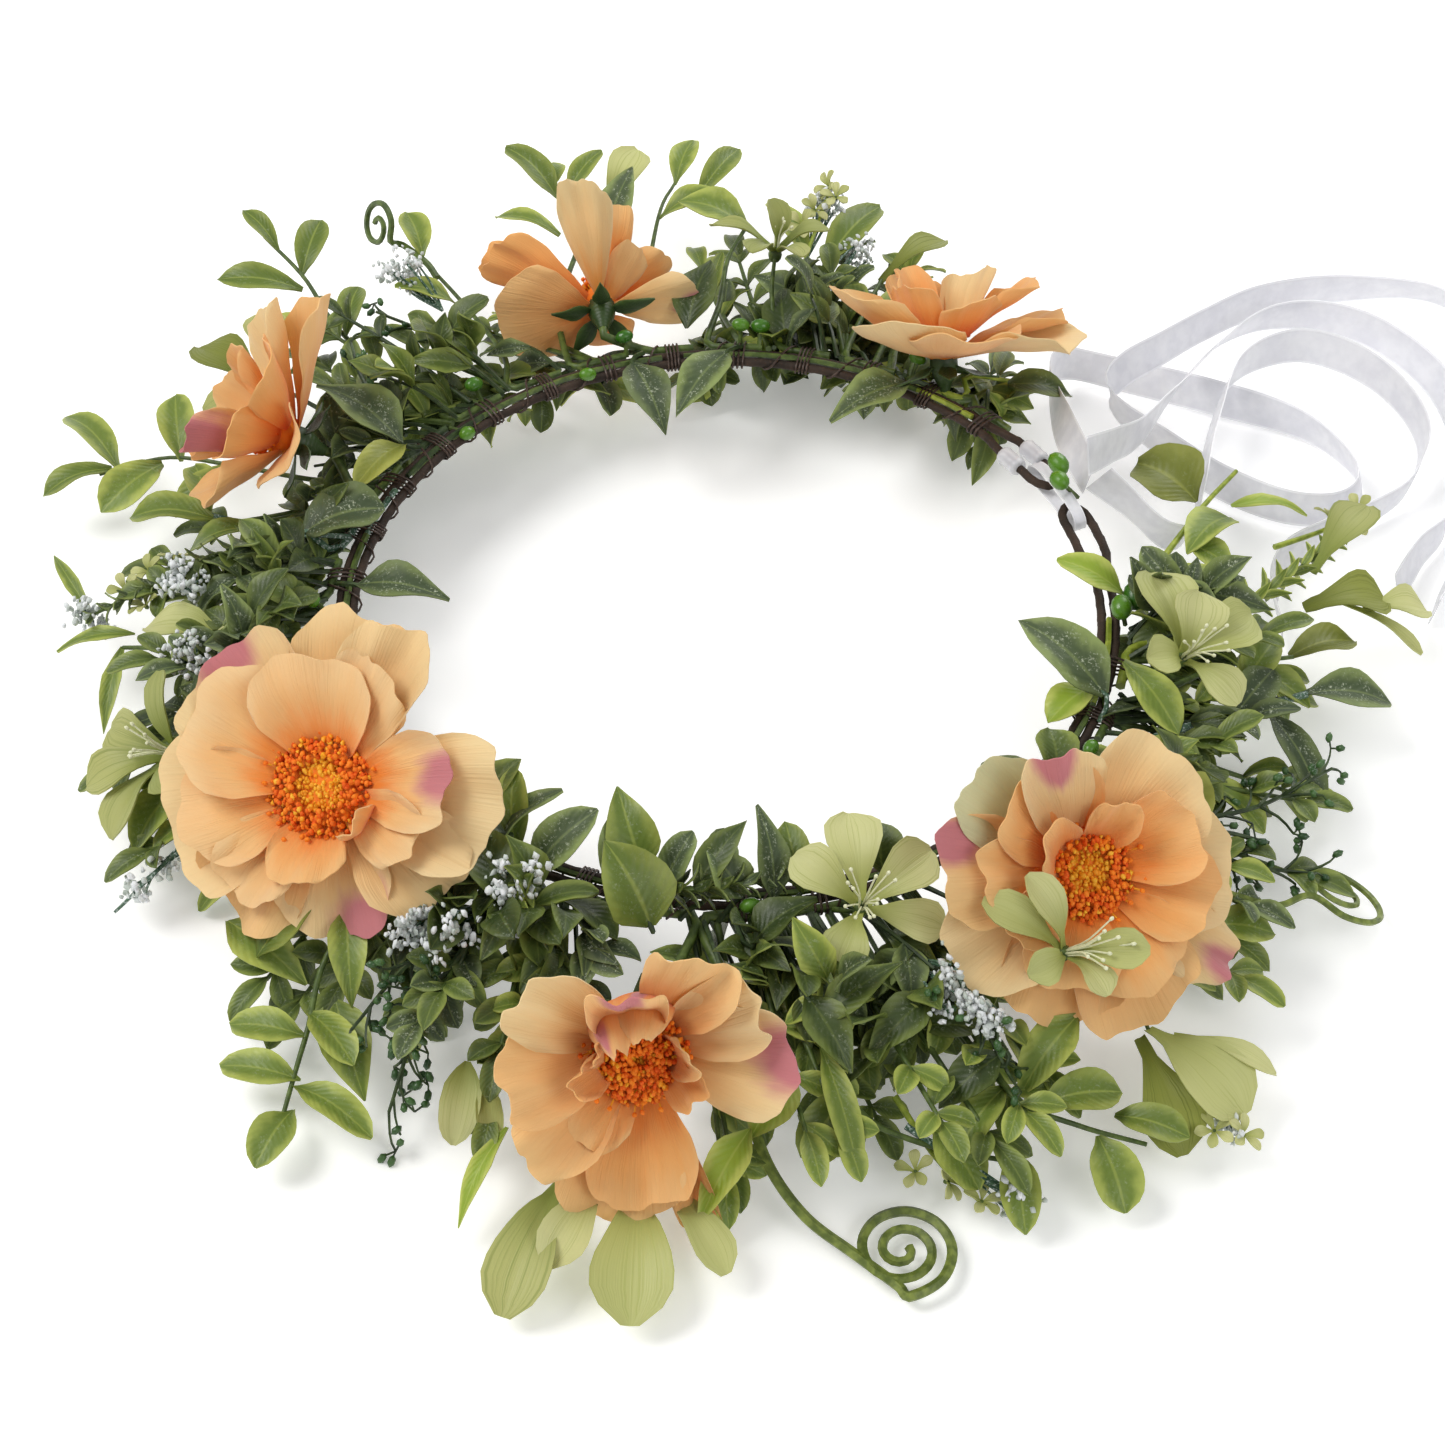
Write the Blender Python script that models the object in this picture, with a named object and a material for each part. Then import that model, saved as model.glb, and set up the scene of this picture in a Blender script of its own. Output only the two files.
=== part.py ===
"""Flower crown: a wire hoop that carries silk blooms and foliage sprigs and ties with a ribbon at the back."""
import math

import bpy
from mathutils import Vector

# ---------------------------------------------------------------- driving dimensions, metres
MM = 0.001
HOOP_RADIUS = 92.5 * MM
HOOP_HEIGHT = 28.0 * MM
STRAND_RADIUS = 1.35 * MM
STRAND_HALF_GAP = 1.65 * MM
LOOP_HALF_GAP = 3.2 * MM
BORE_RADIUS = 0.90 * MM
CORE_RADIUS = 0.50 * MM
WIRE_JOIN_DEG = 250.0
WIRE_JOIN_GAP_DEG = 0.5
TIE_DEG = 90.0
LOOP_TIP_DEG = 2.6
LOOP_FORK_DEG = 19.0

FIRST_TURN_DEG = 110.0
TURN_PITCH_DEG = 10.8
TURNS = 29
BINDING_RADIUS = 0.30 * MM
BINDING_INNER = 88.7 * MM
BINDING_OUTER = 99.0 * MM
BINDING_HALF_HEIGHT = 2.2 * MM

STEM_RADIUS = 1.05 * MM
TAIL_RADIUS = 97.05 * MM
TAIL_BEFORE_DEG = 3.6
TAIL_AFTER_DEG = 3.4

PETAL_THICKNESS = 0.8 * MM
LAYER_GAP = 2.2 * MM
RIBBON_WIDTH = 10.0 * MM
RIBBON_THICKNESS = 0.5 * MM


# ---------------------------------------------------------------- small helpers
def polar(angle, radius, height):
    """A point from an angle in degrees and millimetres."""
    a = math.radians(angle)
    return Vector((radius * math.cos(a), radius * math.sin(a), height)) * MM


def direction(azimuth, elevation):
    a = math.radians(azimuth)
    e = math.radians(elevation)
    return Vector((math.cos(e) * math.cos(a), math.cos(e) * math.sin(a), math.sin(e)))


def spline(points, count):
    """Evenly spaced points on a Catmull-Rom curve through the given ones."""
    pts = [points[0] * 2 - points[1]] + list(points) + [points[-1] * 2 - points[-2]]
    dense = []
    for i in range(1, len(pts) - 2):
        for step in range(16):
            t = step / 16
            p0, p1, p2, p3 = pts[i - 1], pts[i], pts[i + 1], pts[i + 2]
            dense.append(
                0.5 * (2 * p1 + (p2 - p0) * t + (2 * p0 - 5 * p1 + 4 * p2 - p3) * t * t
                       + (3 * p1 - p0 - 3 * p2 + p3) * t * t * t)
            )
    dense.append(pts[-2])
    reach = [0.0]
    for a, b in zip(dense, dense[1:]):
        reach.append(reach[-1] + (b - a).length)
    found = []
    at = 0
    for k in range(count):
        want = reach[-1] * k / (count - 1)
        while at < len(dense) - 2 and reach[at + 1] < want:
            at += 1
        span = max(reach[at + 1] - reach[at], 1e-9)
        found.append(dense[at].lerp(dense[at + 1], min(1.0, (want - reach[at]) / span)))
    return found


def tangents(points):
    last = len(points) - 1
    return [(points[min(i + 1, last)] - points[max(i - 1, 0)]).normalized()
            for i in range(last + 1)]


class Shell:
    """The points and faces of one closed body."""

    def __init__(self):
        self.points = []
        self.faces = []
        self.sides = {}

    def ring(self, points):
        first = len(self.points)
        self.points.extend(points)
        return list(range(first, first + len(points)))

    def bridge(self, a, b, key=None):
        n = len(a)
        for j in range(n):
            face = (a[j], a[(j + 1) % n], b[(j + 1) % n], b[j])
            if key is not None:
                self.sides[(key, j)] = len(self.faces)
            self.faces.append(face)

    def cap(self, ring, key=None, flip=False):
        if key is not None:
            self.sides[key] = len(self.faces)
        self.faces.append(tuple(reversed(ring)) if flip else tuple(ring))

    def blade(self, face_key, sections, tip):
        """A leaf that grows out of one four-cornered face."""
        index = self.sides[face_key]
        base = list(self.faces[index])
        self.faces[index] = None
        mid = sum((self.points[i] for i in base), Vector()) / 4
        first = sections[0]
        centre = sum(first, Vector()) / 4
        lean = (tip - mid).normalized()

        def flat(v, about):
            w = v - about
            w = w - lean * w.dot(lean)
            return w.normalized() if w.length > 1e-9 else w

        best = max(
            range(4),
            key=lambda s: sum(
                flat(self.points[base[j]], mid).dot(flat(first[(j + s) % 4], centre))
                for j in range(4)
            ),
        )
        ring = base
        for section in sections:
            turned = self.ring([section[(j + best) % 4] for j in range(4)])
            self.bridge(ring, turned)
            ring = turned
        end = self.ring([tip])[0]
        for j in range(4):
            self.faces.append((ring[j], ring[(j + 1) % 4], end))


def tube(shell, centres, radii, sides, up=None, key=None, squash=1.0):
    """Rings along the centres. It returns the frames it used."""
    along = tangents(centres)
    side = None
    frames = []
    rings = []
    for centre, radius, forward in zip(centres, radii, along):
        if up is not None:
            side = forward.cross(up).normalized()
        elif side is None:
            helper = Vector((0, 0, 1)) if abs(forward.z) < 0.9 else Vector((1, 0, 0))
            side = forward.cross(helper).normalized()
        else:
            side = (side - forward * side.dot(forward)).normalized()
        rise = side.cross(forward).normalized()
        frames.append((forward, side, rise))
        points = []
        for j in range(sides):
            a = 2 * math.pi * (j + 0.5) / sides
            points.append(centre + side * (radius * math.cos(a))
                          + rise * (radius * squash * math.sin(a)))
        rings.append(shell.ring(points))
    for k in range(len(rings) - 1):
        shell.bridge(rings[k], rings[k + 1], None if key is None else (key, k))
    return rings, frames


def material(name, colour, roughness, metallic=0.0):
    found = bpy.data.materials.get(name)
    if found:
        return found
    made = bpy.data.materials.new(name)
    made.use_nodes = True
    shader = made.node_tree.nodes["Principled BSDF"]
    shader.inputs["Base Color"].default_value = (*colour, 1.0)
    shader.inputs["Roughness"].default_value = roughness
    shader.inputs["Metallic"].default_value = metallic
    return made


def finish(name, shell, look, round_piece=True):
    faces = [face for face in shell.faces if face is not None]
    volume = 0.0
    for face in faces:
        a = shell.points[face[0]]
        for i in range(1, len(face) - 1):
            volume += a.dot(shell.points[face[i]].cross(shell.points[face[i + 1]]))
    if volume < 0:
        faces = [tuple(reversed(face)) for face in faces]
    mesh = bpy.data.meshes.new(name)
    mesh.from_pydata([tuple(p) for p in shell.points], [], faces)
    mesh.update()
    mesh.materials.append(look)
    made = bpy.data.objects.new(name, mesh)
    bpy.context.scene.collection.objects.link(made)
    if round_piece:
        mesh.shade_smooth()
        mesh.set_sharp_from_angle(angle=math.radians(50))
    return made


# ---------------------------------------------------------------- the hoop wire
def strand_offset(from_tip):
    """Half the distance between the two strands, by degrees from the tip of an end loop."""
    table = ((0.0, 0.0), (0.5, 1.5), (1.5, 2.6), (3.5, 3.2), (11.0, 3.2),
             (14.0, 2.2), (16.5, 1.65), (400.0, 1.65))
    for (a, low), (b, high) in zip(table, table[1:]):
        if from_tip <= b:
            return (low + (high - low) * (from_tip - a) / (b - a)) * MM
    return STRAND_HALF_GAP


def loop_degrees():
    return (0.5, 1.5, 3.5, 7.0, 11.0, 14.0, 16.5)


def wire_centres():
    start = TIE_DEG + LOOP_TIP_DEG
    end = TIE_DEG + 360.0 - LOOP_TIP_DEG
    near = [start + d for d in loop_degrees()]
    far = [end - d for d in reversed(loop_degrees())]
    steps = 38
    span = (far[0] - near[-1]) / steps
    between = [near[-1] + span * k for k in range(1, steps)]
    angles = near + between + far
    route = []

    def add(angle, sign):
        from_tip = min(angle - start, end - angle)
        radius = HOOP_RADIUS + sign * strand_offset(from_tip)
        route.append(polar(angle, radius / MM, HOOP_HEIGHT / MM))

    join = WIRE_JOIN_DEG
    add(join - WIRE_JOIN_GAP_DEG, -1)
    for angle in reversed([a for a in angles if a < join - 2.0]):
        add(angle, -1)
    add(start, -1)
    for angle in angles:
        add(angle, 1)
    add(end, 1)
    for angle in reversed([a for a in angles if a > join + 2.0]):
        add(angle, -1)
    add(join + WIRE_JOIN_GAP_DEG, -1)
    return route


def build_wire():
    centres = wire_centres()
    up = Vector((0, 0, 1))
    core = Shell()
    inner = centres[:]
    inner[0] = centres[0].lerp(centres[1], 0.06)
    inner[-1] = centres[-1].lerp(centres[-2], 0.06)
    rings, _ = tube(core, inner, [CORE_RADIUS] * len(inner), 4, up)
    core.cap(rings[0], flip=True)
    core.cap(rings[-1])
    finish("hoop_core_wire", core, material("steel wire", (0.55, 0.56, 0.58), 0.35, 1.0))
    wrap = Shell()
    outer, _ = tube(wrap, centres, [STRAND_RADIUS] * len(centres), 5, up)
    bore, _ = tube(wrap, centres, [BORE_RADIUS] * len(centres), 5, up)
    count = len(wrap.faces) // 2
    wrap.faces[count:] = [tuple(reversed(face)) for face in wrap.faces[count:]]
    wrap.bridge(bore[0], outer[0])
    wrap.bridge(outer[-1], bore[-1])
    finish("hoop_paper_wrap", wrap, material("brown paper tape", (0.13, 0.075, 0.05), 0.8))


def build_binding():
    """One fine wire in a spiral round both strands and every stem's tail."""
    corners = []
    for k in range(TURNS):
        centre = FIRST_TURN_DEG + TURN_PITCH_DEG * k
        corners.append((centre - 4.05, BINDING_INNER, BINDING_HALF_HEIGHT))
        corners.append((centre - 1.35, BINDING_OUTER, BINDING_HALF_HEIGHT))
        corners.append((centre + 1.35, BINDING_OUTER, -BINDING_HALF_HEIGHT))
        corners.append((centre + 4.05, BINDING_INNER, -BINDING_HALF_HEIGHT))
    centres = [polar(a, r / MM, (HOOP_HEIGHT + h) / MM) for a, r, h in corners]
    shell = Shell()
    rings, _ = tube(shell, centres, [BINDING_RADIUS * 1.15] * len(centres), 3)
    shell.cap(rings[0], flip=True)
    shell.cap(rings[-1])
    finish("binding_wire", shell, material("dark binding wire", (0.06, 0.04, 0.03), 0.5, 0.6))


# ---------------------------------------------------------------- stems and leaves
def slot_angle(slot):
    return FIRST_TURN_DEG + TURN_PITCH_DEG * slot


def stem_start(slot):
    """The stem's tail, bound to the hoop, and the bend with which it leaves it."""
    c = slot_angle(slot)
    h = HOOP_HEIGHT / MM
    tail = TAIL_RADIUS / MM
    return [polar(c - TAIL_BEFORE_DEG, tail, h), polar(c, tail, h),
            polar(c + TAIL_AFTER_DEG - 0.6, tail, h), polar(c + 5.2, 99.6, h),
            polar(c + 6.9, 104.0, h - 1.0)]


def leaf_sections(base, lead, across, length, width, thick, droop):
    """Two cross-sections and the tip of a leaf that starts at base."""
    face = across.cross(lead).normalized()
    if face.z < 0:
        face = -face
    sections = []
    for t, w in ((0.30, 0.42), (0.62, 0.50)):
        mid = base + lead * (length * t) + Vector((0, 0, -droop * length * t * t))
        half = across * (width * w)
        rise = face * (thick / 2)
        fold = face * (width * 0.07)
        sections.append([mid - half + fold, mid - rise, mid + half + fold, mid + rise])
    tip = base + lead * length + Vector((0, 0, -droop * length))
    return sections, tip


def oriented(shell, key, sections, tip):
    """The sections, turned so that their order goes round the same way as the face's."""
    face = [shell.points[i] for i in shell.faces[shell.sides[key]]]
    out = (face[2] - face[0]).cross(face[3] - face[1])
    mid = sum(face, Vector()) / 4
    lead = tip - mid
    if out.dot(lead) < 0:
        out = -out
    first = sections[0]
    turn = (first[2] - first[0]).cross(first[3] - first[1])
    face_turn = (face[2] - face[0]).cross(face[3] - face[1])
    same = turn.dot(lead) * face_turn.dot(lead) > 0
    return sections if same else [list(reversed(s)) for s in sections]


def add_leaf(shell, key, lead, across, length, width, thick, droop):
    face = shell.faces[shell.sides[key]]
    base = sum((shell.points[i] for i in face), Vector()) / 4
    sections, tip = leaf_sections(base, lead, across, length, width, thick, droop)
    shell.blade(key, oriented(shell, key, sections, tip), tip)


def settle(shell, bound_radius):
    """Lets the outer end of a sprig down until its lowest point is on the base plane."""
    for _ in range(8):
        low = min(p.z for p in shell.points)
        for p in shell.points:
            out = (p.xy.length - bound_radius) / (40 * MM)
            share = min(1.0, max(0.0, out))
            p.z -= low * share * share * (3 - 2 * share)
    low = min(p.z for p in shell.points)
    for p in shell.points:
        if p.z < 0.0 and p.z < low + 1e-9:
            p.z = 0.0


def build_sprig(name, slot, route, leaves, size, look, rests=False, rings=11):
    """A stem with side leaves. leaves holds (ring, side) pairs with side 0 right, 2 left."""
    length, width, droop, spread = size
    points = stem_start(slot) + [polar(*p) for p in route]
    centres = spline(points, rings + 4)
    radii = [STEM_RADIUS * (1.0 - 0.35 * k / (len(centres) - 1)) for k in range(len(centres))]
    shell = Shell()
    made, frames = tube(shell, centres, radii, 4, key="stem")
    shell.cap(made[0], flip=True)
    shell.cap(made[-1], key="end")
    for ring, side, scale in leaves:
        forward, across, rise = frames[ring]
        out = {0: rise, 1: -across, 2: -rise, 3: across}[side]
        angle = math.radians(spread)
        lead = (out * math.sin(angle) + forward * math.cos(angle)).normalized()
        flat = lead.cross(rise if side in (1, 3) else across).normalized()
        add_leaf(shell, (("stem", ring), side), lead, flat, length * scale, width * scale,
                 0.9 * MM, droop)
    forward, across, rise = frames[-1]
    add_leaf(shell, "end", forward, across, length, width, 0.9 * MM, droop)
    if rests:
        settle(shell, 112 * MM)
    return finish(name, shell, look)


# ---------------------------------------------------------------- the blooms
def bloom_frame(axis):
    side = axis.cross(Vector((0, 0, 1))).normalized()
    return side, side.cross(axis).normalized()


def petal_layer(name, centre, axis, radius, cup, lift, look, phase, hole=2.1 * MM):
    """One die-cut layer of five joined lobes, threaded on the stem through its centre hole."""
    side, rise = bloom_frame(axis)
    steps = 20
    rings = []
    shell = Shell()
    half = PETAL_THICKNESS / 2
    stations = (hole, radius * 0.52, radius)
    for sign in (1, -1):
        for s, reach in enumerate(stations):
            points = []
            for j in range(steps):
                a = 2 * math.pi * j / steps
                lobe = math.cos(5 * a + phase)
                r = reach * (1.0 + (0.13 * lobe - 0.05 if s == 2 else 0.0))
                height = lift + cup * r * r / radius + sign * half
                points.append(centre + side * (r * math.cos(a)) + rise * (r * math.sin(a))
                              + axis * height)
            rings.append(shell.ring(points))
    top, low = rings[:3], rings[3:]
    shell.bridge(top[0], top[1])
    shell.bridge(top[1], top[2])
    shell.bridge(top[2], low[2])
    shell.bridge(low[2], low[1])
    shell.bridge(low[1], low[0])
    shell.bridge(low[0], top[0])
    return finish(name, shell, look)


def turned(centre, axis, profile, sides, shell, key=None):
    """Rings from (radius, height along the axis) pairs."""
    side, rise = bloom_frame(axis)
    rings = []
    for radius, height in profile:
        points = []
        for j in range(sides):
            a = 2 * math.pi * (j + 0.5) / sides
            points.append(centre + axis * height + side * (radius * math.cos(a))
                          + rise * (radius * math.sin(a)))
        rings.append(shell.ring(points))
    for k in range(len(rings) - 1):
        shell.bridge(rings[k], rings[k + 1], None if key is None else (key, k))
    return rings


def build_stamens(name, centre, axis, radius, cup, look):
    """The fluffy heart, with the peg that goes through the layers into the calyx."""
    dome = 0.21 * radius
    under = LAYER_GAP + cup * dome * dome / (0.74 * radius) + 1.0 * MM
    profile = [(1.1 * MM, -4.4 * MM), (1.1 * MM, LAYER_GAP + 0.9 * MM), (dome * 0.9, under),
               (dome, under + 1.6 * MM), (dome * 0.72, under + 4.2 * MM),
               (dome * 0.3, under + 5.2 * MM)]
    shell = Shell()
    rings = turned(centre, axis, profile, 8, shell)
    shell.cap(rings[0], flip=True)
    shell.cap(rings[-1])
    return finish(name, shell, look)


def build_calyx(name, slot, centre, axis, look, via=()):
    """A cup with a blind socket, five sepals and the stem down to the hoop."""
    shell = Shell()
    top = -0.9 * MM
    profile = [(0.4 * MM, -5.4 * MM), (1.75 * MM, -5.2 * MM), (1.75 * MM, top),
               (3.4 * MM, top), (3.4 * MM, -2.4 * MM), (2.9 * MM, -5.0 * MM),
               (1.3 * MM, -8.0 * MM)]
    rings = turned(centre, axis, profile, 5, shell, key="cup")
    shell.cap(rings[0], flip=True)
    start = stem_start(slot)
    route = [centre - axis * (8.0 * MM), centre - axis * (11.0 * MM)]
    route += [polar(*p) for p in via] + list(reversed(start))
    centres = spline(route, 15)[1:]
    side, rise = bloom_frame(axis)
    across = side
    last = rings[-1]
    along = tangents([route[0]] + centres)[1:]
    for k, (point, forward) in enumerate(zip(centres, along)):
        across = (across - forward * across.dot(forward)).normalized()
        lift = forward.cross(across).normalized()
        r = (1.25 if k < 3 else 1.05) * MM
        ring = shell.ring([
            point + across * (r * math.cos(2 * math.pi * (j + 0.5) / 5))
            + lift * (r * math.sin(2 * math.pi * (j + 0.5) / 5))
            for j in range(5)
        ])
        shell.bridge(last, ring)
        last = ring
    shell.cap(last)
    for j in range(5):
        key = (("cup", 4), j)
        face = [shell.points[i] for i in shell.faces[shell.sides[key]]]
        mid = sum(face, Vector()) / 4
        out = mid - centre
        out = (out - axis * out.dot(axis)).normalized()
        lead = (out - axis * 0.28).normalized()
        flat = lead.cross(axis).normalized()
        thick = 0.8 * MM
        sections = []
        for t, w in ((0.35, 2.3), (0.7, 1.7)):
            at = mid + lead * (11.0 * MM * t)
            normal = flat.cross(lead).normalized()
            sections.append([at - flat * (w * MM), at - normal * (thick / 2),
                             at + flat * (w * MM), at + normal * (thick / 2)])
        tip = mid + lead * (11.0 * MM)
        shell.blade(key, oriented(shell, key, sections, tip), tip)
    return finish(name, shell, look)


def build_bloom(name, slot, angle, reach, height, azimuth, elevation, radius, cup, phase, via=()):
    axis = direction(azimuth, elevation)
    centre = polar(angle, reach, height)
    petal = material("peach petal fabric", (0.95, 0.68, 0.42), 0.75)
    heart = material("orange stamen flock", (0.90, 0.28, 0.05), 0.8)
    green = material("dark calyx plastic", (0.06, 0.12, 0.04), 0.5)
    r = radius * MM
    build_calyx(name + "_calyx", slot, centre, axis, green, via)
    petal_layer(name + "_outer_petals", centre, axis, r, cup, 0.0, petal, phase)
    petal_layer(name + "_inner_petals", centre, axis, r * 0.74, cup * 1.1, LAYER_GAP, petal,
                phase + math.pi)
    build_stamens(name + "_stamens", centre, axis, r, cup * 1.1, heart)


# ---------------------------------------------------------------- the ribbon
def build_knot():
    """The lashing that passes through both end loops and holds them together."""
    points = ((-12.1, 0.0), (-10.0, 2.9), (10.0, 2.9), (12.1, 0.0), (10.0, -2.9), (-10.0, -2.9))
    shell = Shell()
    rings = []
    for x, z in points:
        out = Vector((x, 0, z)).normalized()
        base_y = math.sqrt((HOOP_RADIUS / MM) ** 2 - x * x)
        mid = Vector((x, base_y, z + HOOP_HEIGHT / MM)) * MM
        across = Vector((0, 1.15 * MM, 0))
        lift = out * (0.4 * MM)
        if abs(x) < 11:
            lift = Vector((0, 0, math.copysign(0.4 * MM, z)))
        rings.append(shell.ring([mid - across - lift, mid + across - lift,
                                 mid + across + lift, mid - across + lift]))
    for k in range(len(rings)):
        shell.bridge(rings[k], rings[(k + 1) % len(rings)])
    finish("ribbon_knot", shell, material("white ribbon", (0.93, 0.93, 0.95), 0.35), False)


def build_tail(name, route):
    """A ribbon tail that stands on its edge in loose loops."""
    centres = spline([Vector(p) * MM for p in route], 78)
    along = tangents(centres)
    shell = Shell()
    rings = []
    for point, forward in zip(centres, along):
        side = forward.cross(Vector((0, 0, 1))).normalized() * (RIBBON_THICKNESS / 2)
        rise = Vector((0, 0, RIBBON_WIDTH / 2))
        rings.append(shell.ring([point - side - rise, point + side - rise,
                                 point + side + rise, point - side + rise]))
    for a, b in zip(rings, rings[1:]):
        shell.bridge(a, b)
    shell.cap(rings[0], flip=True)
    shell.cap(rings[-1])
    finish(name, shell, material("white ribbon", (0.93, 0.93, 0.95), 0.35), False)


# ---------------------------------------------------------------- layout, degrees and millimetres
# name, slot, angle, radius, height, azimuth and elevation of the face, petal radius, cup, phase, via
BLOOMS = (
    ("bloom_1", 16, 284.0, 113.0, 41.0, 310.0, 52.0, 37.0, 0.28, 0.3, ()),
    ("bloom_2", 20, 327.3, 136.0, 31.5, 335.0, 38.0, 34.0, 0.60, 1.2, ()),
    ("bloom_3", 24, 13.8, 122.0, 41.5, 350.0, 48.0, 36.0, 0.32, 2.0, ()),
    ("bloom_4", 10, 220.0, 121.0, 36.0, 245.0, 30.0, 28.0, 0.55, 0.0, ()),
    ("bloom_5", 5, 172.0, 118.0, 33.0, 160.0, 2.0, 26.0, 0.55, 1.0, ()),
    ("bloom_6", 0, 120.5, 108.0, 40.0, 160.0, 55.0, 30.0, 0.45, 2.4, ()),
)

SMALL = (0.017, 0.008, 0.10, 52.0)
MEDIUM = (0.020, 0.010, 0.10, 50.0)
LARGE = (0.025, 0.012, 0.12, 45.0)
STAR = (0.016, 0.007, 0.05, 65.0)
PAIRS = ((7, 3, 0.9), (8, 1, 0.9), (10, 3, 1.0), (11, 1, 1.0), (12, 3, 0.9), (13, 1, 0.8))
FEW = ((8, 3, 0.9), (10, 1, 0.9), (12, 3, 0.9))
CROWN = ((9, 1, 0.8), (12, 0, 1.0), (12, 2, 1.0), (12, 1, 1.0), (12, 3, 1.0))

# name, slot, route of (angle, radius, height), leaves, size, kind, reaches down to the base plane
SPRIGS = (
    ("foliage_01", 1, ((131, 118, 16), (132.5, 142, 9), (133, 158, 9)), FEW, MEDIUM, "box", False),
    ("foliage_02", 2, ((141, 120, 16), (143, 145, 10), (143.5, 165, 9)), FEW, MEDIUM, "box", True),
    ("foliage_03", 3, ((149, 118, 24), (150.5, 134, 28)), CROWN, STAR, "star", False),
    ("foliage_04", 4, ((157, 112, 18), (153.5, 135, 10), (155, 165, 8), (156, 188, 9)), PAIRS,
     MEDIUM, "box", True),
    ("foliage_06", 6, ((184, 116, 16), (185.5, 140, 10), (180, 165, 9), (176, 180, 9)), PAIRS,
     MEDIUM, "box", True),
    ("foliage_07", 7, ((193.5, 120, 18), (193.5, 148, 14), (191, 170, 11), (188.5, 184, 9)), FEW,
     SMALL, "frost", False),
    ("foliage_08", 8, ((202, 125, 18), (201, 150, 10), (200, 172, 9), (199, 186, 9)), PAIRS,
     MEDIUM, "box", True),
    ("foliage_09", 9, ((208, 116, 26), (205, 136, 26), (206, 152, 28)), FEW, LARGE, "frost", False),
    ("foliage_11", 11, ((234, 112, 14), (228, 135, 8), (221, 165, 7), (218, 190, 9)), PAIRS,
     MEDIUM, "box", True),
    ("foliage_12", 12, ((246, 120, 18), (244, 145, 12), (243, 168, 9)), PAIRS, SMALL, "rose", False),
    ("foliage_13", 13, ((257, 118, 18), (257, 135, 12), (258, 150, 9)), FEW, SMALL, "star", False),
    ("foliage_14", 14, ((267, 120, 14), (268, 140, 8), (268.5, 156, 7)), FEW, MEDIUM, "box", True),
    ("foliage_15", 15, ((279, 122, 12), (281, 145, 7), (282, 164, 7)), FEW, MEDIUM, "box", True),
    ("foliage_17", 17, ((300, 122, 12), (296, 148, 7), (294, 172, 7)), PAIRS, MEDIUM, "box", True),
    ("foliage_18", 18, ((310, 122, 14), (307, 148, 8), (304.5, 168, 7)), FEW, LARGE, "frost", True),
    ("foliage_19", 19, ((320, 118, 12), (319, 150, 7), (321, 180, 5)), FEW, LARGE, "star", True),
    ("foliage_21", 21, ((343, 122, 14), (341.5, 150, 8), (345, 176, 6)), FEW, SMALL, "box", True),
    ("foliage_22", 22, ((354, 122, 14), (354.5, 150, 8), (355, 176, 6)), PAIRS, SMALL, "box", True),
    ("foliage_23", 23, ((5, 122, 14), (4.5, 150, 8), (4.5, 178, 7)), FEW, MEDIUM, "box", True),
    ("foliage_25", 25, ((26, 120, 14), (20, 145, 8), (15.5, 170, 8)), FEW, MEDIUM, "star", True),
    ("foliage_26", 26, ((38, 125, 14), (36, 150, 9), (34, 170, 8)), FEW, SMALL, "box", True),
    ("foliage_27", 27, ((49, 120, 20), (51, 140, 14), (51, 158, 12)), PAIRS, SMALL, "frost", False),
    ("foliage_28", 28, ((62, 118, 20), (66, 140, 14), (69, 168, 12)), PAIRS, MEDIUM, "star", True),
)

LOOKS = {
    "box": ("bright leaf plastic", (0.22, 0.36, 0.08), 0.45),
    "frost": ("frosted leaf plastic", (0.25, 0.34, 0.20), 0.65),
    "star": ("pale blossom plastic", (0.50, 0.58, 0.28), 0.45),
    "rose": ("dark sprig plastic", (0.12, 0.22, 0.06), 0.5),
}

TAIL_A = (
    (0, 101, 31), (-22, 107, 27), (-52, 120, 16), (-64, 133, 8), (-54, 147, 6), (-36, 164, 6),
    (-17, 179, 6), (1, 183, 6), (12, 179, 6), (15, 169, 6), (8, 157, 6), (-8, 147, 6),
    (-26, 140, 8), (-36, 134, 12), (-42, 133, 16), (-46, 140, 17.5), (-49, 152, 17.5),
    (-53, 169, 17.5), (-55, 189, 17.5), (-49, 214, 17.5), (-35, 235, 17.5), (-5, 237, 17.5),
    (24, 221, 14), (39, 199, 8), (48, 184, 6), (58, 171, 6),
)
TAIL_B = (
    (4, 101, 34), (9, 106, 29), (17, 113, 22), (17, 121, 17.5), (7, 131, 17.5), (-15, 148, 17.5),
    (-33, 167, 17.5), (-35, 186, 17.5), (-24, 197, 17.5), (-7, 201, 17.5), (8, 200, 14),
    (17, 191, 8), (20, 179, 6), (22, 163, 6), (25, 148, 6), (34, 138, 6), (48, 132, 6),
)
TAIL_C = (
    (4, 97, 43), (-4, 110, 35), (-14, 125, 26), (-30, 145, 19), (-44, 167, 17.5), (-48, 185, 17.5),
    (-42, 200, 17.5), (-28, 210, 17.5), (-8, 216, 14), (12, 212, 8), (31, 194, 6), (38, 180, 6),
    (47, 167, 6),
)


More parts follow.
